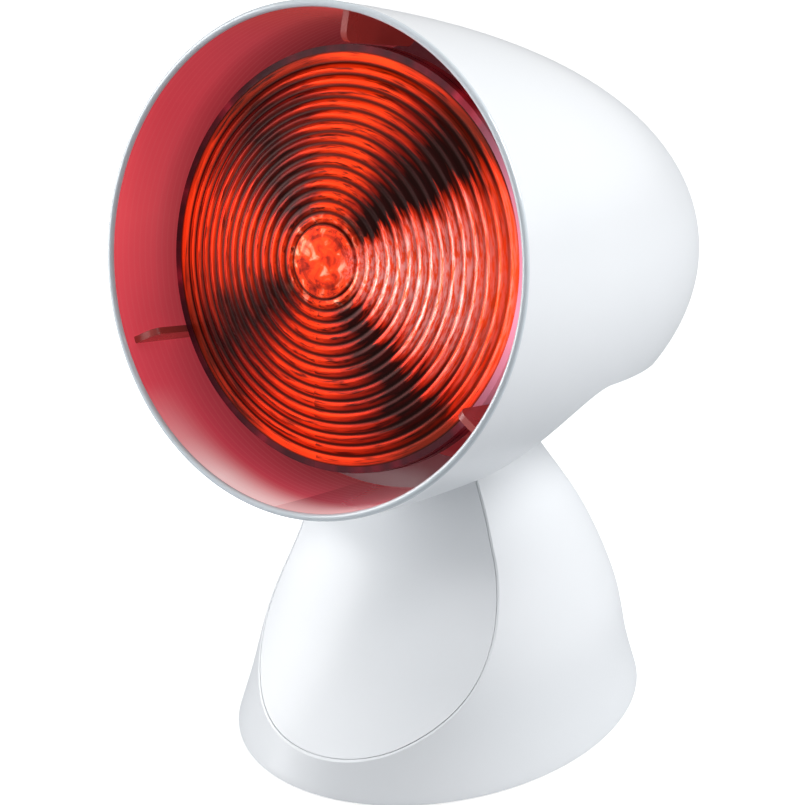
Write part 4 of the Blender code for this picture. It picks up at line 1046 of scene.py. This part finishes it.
def makeSwitch():
    s = switchShape
    under = s["rockerDepth"] - s["recess"] + s["gap"]
    top, low = under + s["bezel"], under - s["caseDepth"]
    case = drawn("switchHousing", roundedBox(s["caseWidth"], s["caseLength"], top - low,
                                             Matrix.Translation((0, 0, (top + low) / 2)), s["caseCorner"]))
    bezel = drawn("bezel", roundedBox(s["bezelWidth"], s["bezelLength"], s["bezel"],
                                      Matrix.Translation((0, 0, (under + top) / 2)), s["bezelCorner"]))
    soften(bezel, s["bezelSoft"])
    carve(case, [bezel], "UNION")
    depth, over = s["root"] + s["dip"] + s["gap"], s["sink"] / 2
    room = roundedBox(s["caseWidth"] - 2 * s["wall"], s["caseLength"] - 2 * s["wall"], top + depth + over,
                      Matrix.Translation((0, 0, (top + over - depth) / 2)), s["caseCorner"])
    carve(case, [drawn("room", room)])
    carve(case, [drawn("pin bore", rod(s["pin"] + touch, s["caseWidth"] - 2 * touch, alongX))])
    settle(case, [blackNylon], "foot", switchPlace, ["switch_housing"], 30)

    crest = [(s["halfLength"] * (1 - i / 12), s["rise"] - s["dip"] * (1 - (1 - i / 12) ** 2)) for i in range(25)]
    outline = [(-s["rootLength"], -s["root"]), (s["rootLength"], -s["root"]), (s["halfLength"], s["rise"] - s["dip"])]
    outline += crest + [(-s["halfLength"], s["rise"] - s["dip"])]
    rocker = drawn("switchRocker", prism(outline, 2 * s["halfWidth"], acrossFoot))
    soften(rocker, s["rockerSoft"], 3, 40)
    carve(rocker, [drawn("rocker pin", rod(s["pin"], s["caseWidth"] - 4 * touch, alongX))], "UNION")
    turn = switchPlace @ Matrix.Rotation(math.radians(-s["angle"]), 4, "X")
    settle(rocker, [blackNylon], "switch", turn, ["switch_rocker"], 30)

    at, ink = s["markAt"], s["ink"]  # the marks lie on the rocker's curve, half of each in the plastic
    rise = s["rise"] - s["dip"] * (1 - (at / s["halfLength"]) ** 2)
    lean = math.atan(2 * s["dip"] * at / s["halfLength"] ** 2)
    bar = drawn("rockerMarks", roundedBox(s["barWide"], s["barLong"], ink, Matrix.Translation((0, at, rise))
                                          @ Matrix.Rotation(lean, 4, "X"), ink))
    loop = [(s[edge], side * ink / 2) for edge, side in (("ringOuter", -1), ("ringOuter", 1), ("ringInner", 1),
                                                         ("ringInner", -1))]
    ring = drawn("ring", lathe(loop, 48, loop=True))
    ring.data.transform(Matrix.Translation((0, -at, rise)) @ Matrix.Rotation(-lean, 4, "X"))
    carve(bar, [ring], "UNION")
    settle(bar, [whiteInk], "switch", turn)


makeEntry()
makeSwitch()
print("cable entry and switch ready")

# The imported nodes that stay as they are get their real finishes
keptNodes = {"tilt_bracket": zincSteel, "pivot_pin": zincSteel, "pivot_nut": zincSteel, "holder_bracket": zincSteel,
             "friction_washer_left": vulcanFibre, "friction_washer_right": vulcanFibre, "lamp_cap": capBrass,
             "lampholder": steatite}
for node, material in keptNodes.items():
    for slot in frame["nodes"][node].material_slots:
        slot.material = material


# Floor, light and camera

studio = {"floor": "C6C9CC", "floorGlow": 0.85, "ambient": "EEF2F7", "ambientLevel": 0.08, "mirrored": 0.6,
          "aim": Vector((0, 0, 0.1)),
          "lights": (("leftFront", (-1.04, -0.6, 0.4), 0.9, 11.0),
                     ("frontHigh", (-0.54, -0.64, 1.096), 0.8, 1.9),
                     ("frontLow", (-0.74, -1.05, 0.28), 0.7, 1.5),
                     ("rightHigh", (0.874, 0.284, 1.0), 0.7, 16.2),
                     ("behind", (0.9, 0.75, 0.65), 0.8, 1.0))}
view = {"azimuth": 35.22, "elevation": 22.5, "place": (0.3694, -0.55761, 0.3745), "lens": 103.4}


def makeFloor():
    material = bpy.data.materials.new("paleStudioPaper")
    material.use_nodes = True
    tree = material.node_tree
    shader = tree.nodes["Principled BSDF"]
    shader.inputs["Roughness"].default_value = 0.9
    shader.inputs["Base Color"].default_value = linear(studio["floor"])
    add = partial(addNode, tree)
    path = add("LightPath")
    seen = add("Math", (path.outputs["Is Camera Ray"], path.outputs["Is Transmission Ray"]), "MAXIMUM")
    level = add("Math", (seen, studio["floorGlow"]), "MULTIPLY")
    glow = add("Emission", {"Strength": level})
    feed(tree.nodes["Material Output"], {"Surface": add("AddShader", (shader, glow))})
    shape = bmesh.new()
    bmesh.ops.create_grid(shape, x_segments=8, y_segments=8, size=4.0)
    floor = drawn("studioFloor", shape, fair=False)
    floor.data.materials.append(material)


def makeWorld():
    world = bpy.data.worlds.new("studio")
    world.use_nodes = True
    scene.world = world
    tree = world.node_tree
    plain = tree.nodes["Background"]
    plain.inputs["Color"].default_value = linear(studio["ambient"])
    plain.inputs["Strength"].default_value = studio["ambientLevel"]
    add = partial(addNode, tree)
    path = add("LightPath")
    seen = add("Math", (path.outputs["Is Camera Ray"], path.outputs["Is Transmission Ray"]), "MAXIMUM")
    mirrored = add("Math", (path.outputs["Is Glossy Ray"], studio["mirrored"]), "MULTIPLY")
    clear = add("Math", (seen, mirrored), "MAXIMUM")
    white = add("Background", {"Color": (1, 1, 1, 1), "Strength": 1.0})
    feed(tree.nodes["World Output"], {"Surface": add("MixShader", (clear, plain, white))})


def makeLights():
    for name, place, size, power in studio["lights"]:
        lamp = bpy.data.lights.new(name, "AREA")
        lamp.shape = "DISK"
        lamp.size = size
        lamp.energy = power
        light = bpy.data.objects.new(name, lamp)
        light.location = place
        light.rotation_euler = (studio["aim"] - Vector(place)).to_track_quat("-Z", "Y").to_euler()
        scene.collection.objects.link(light)


def makeCamera():
    turn, rise = math.radians(view["azimuth"]), math.radians(view["elevation"])
    back = Vector((math.sin(turn) * math.cos(rise), -math.cos(turn) * math.cos(rise), math.sin(rise)))
    right = Vector((math.cos(turn), math.sin(turn), 0))
    lens = bpy.data.cameras.new("photoView")
    lens.lens = view["lens"]
    lens.sensor_width = 36
    lens.clip_start = 0.01
    lens.clip_end = 30
    camera = bpy.data.objects.new("photoView", lens)
    turned = Matrix((right, back.cross(right), back)).transposed().to_4x4()
    camera.matrix_world = Matrix.Translation(view["place"]) @ turned
    scene.collection.objects.link(camera)
    scene.camera = camera


makeFloor()
makeWorld()
makeLights()
makeCamera()
scene.view_settings.view_transform = "Standard"
print("studio ready")
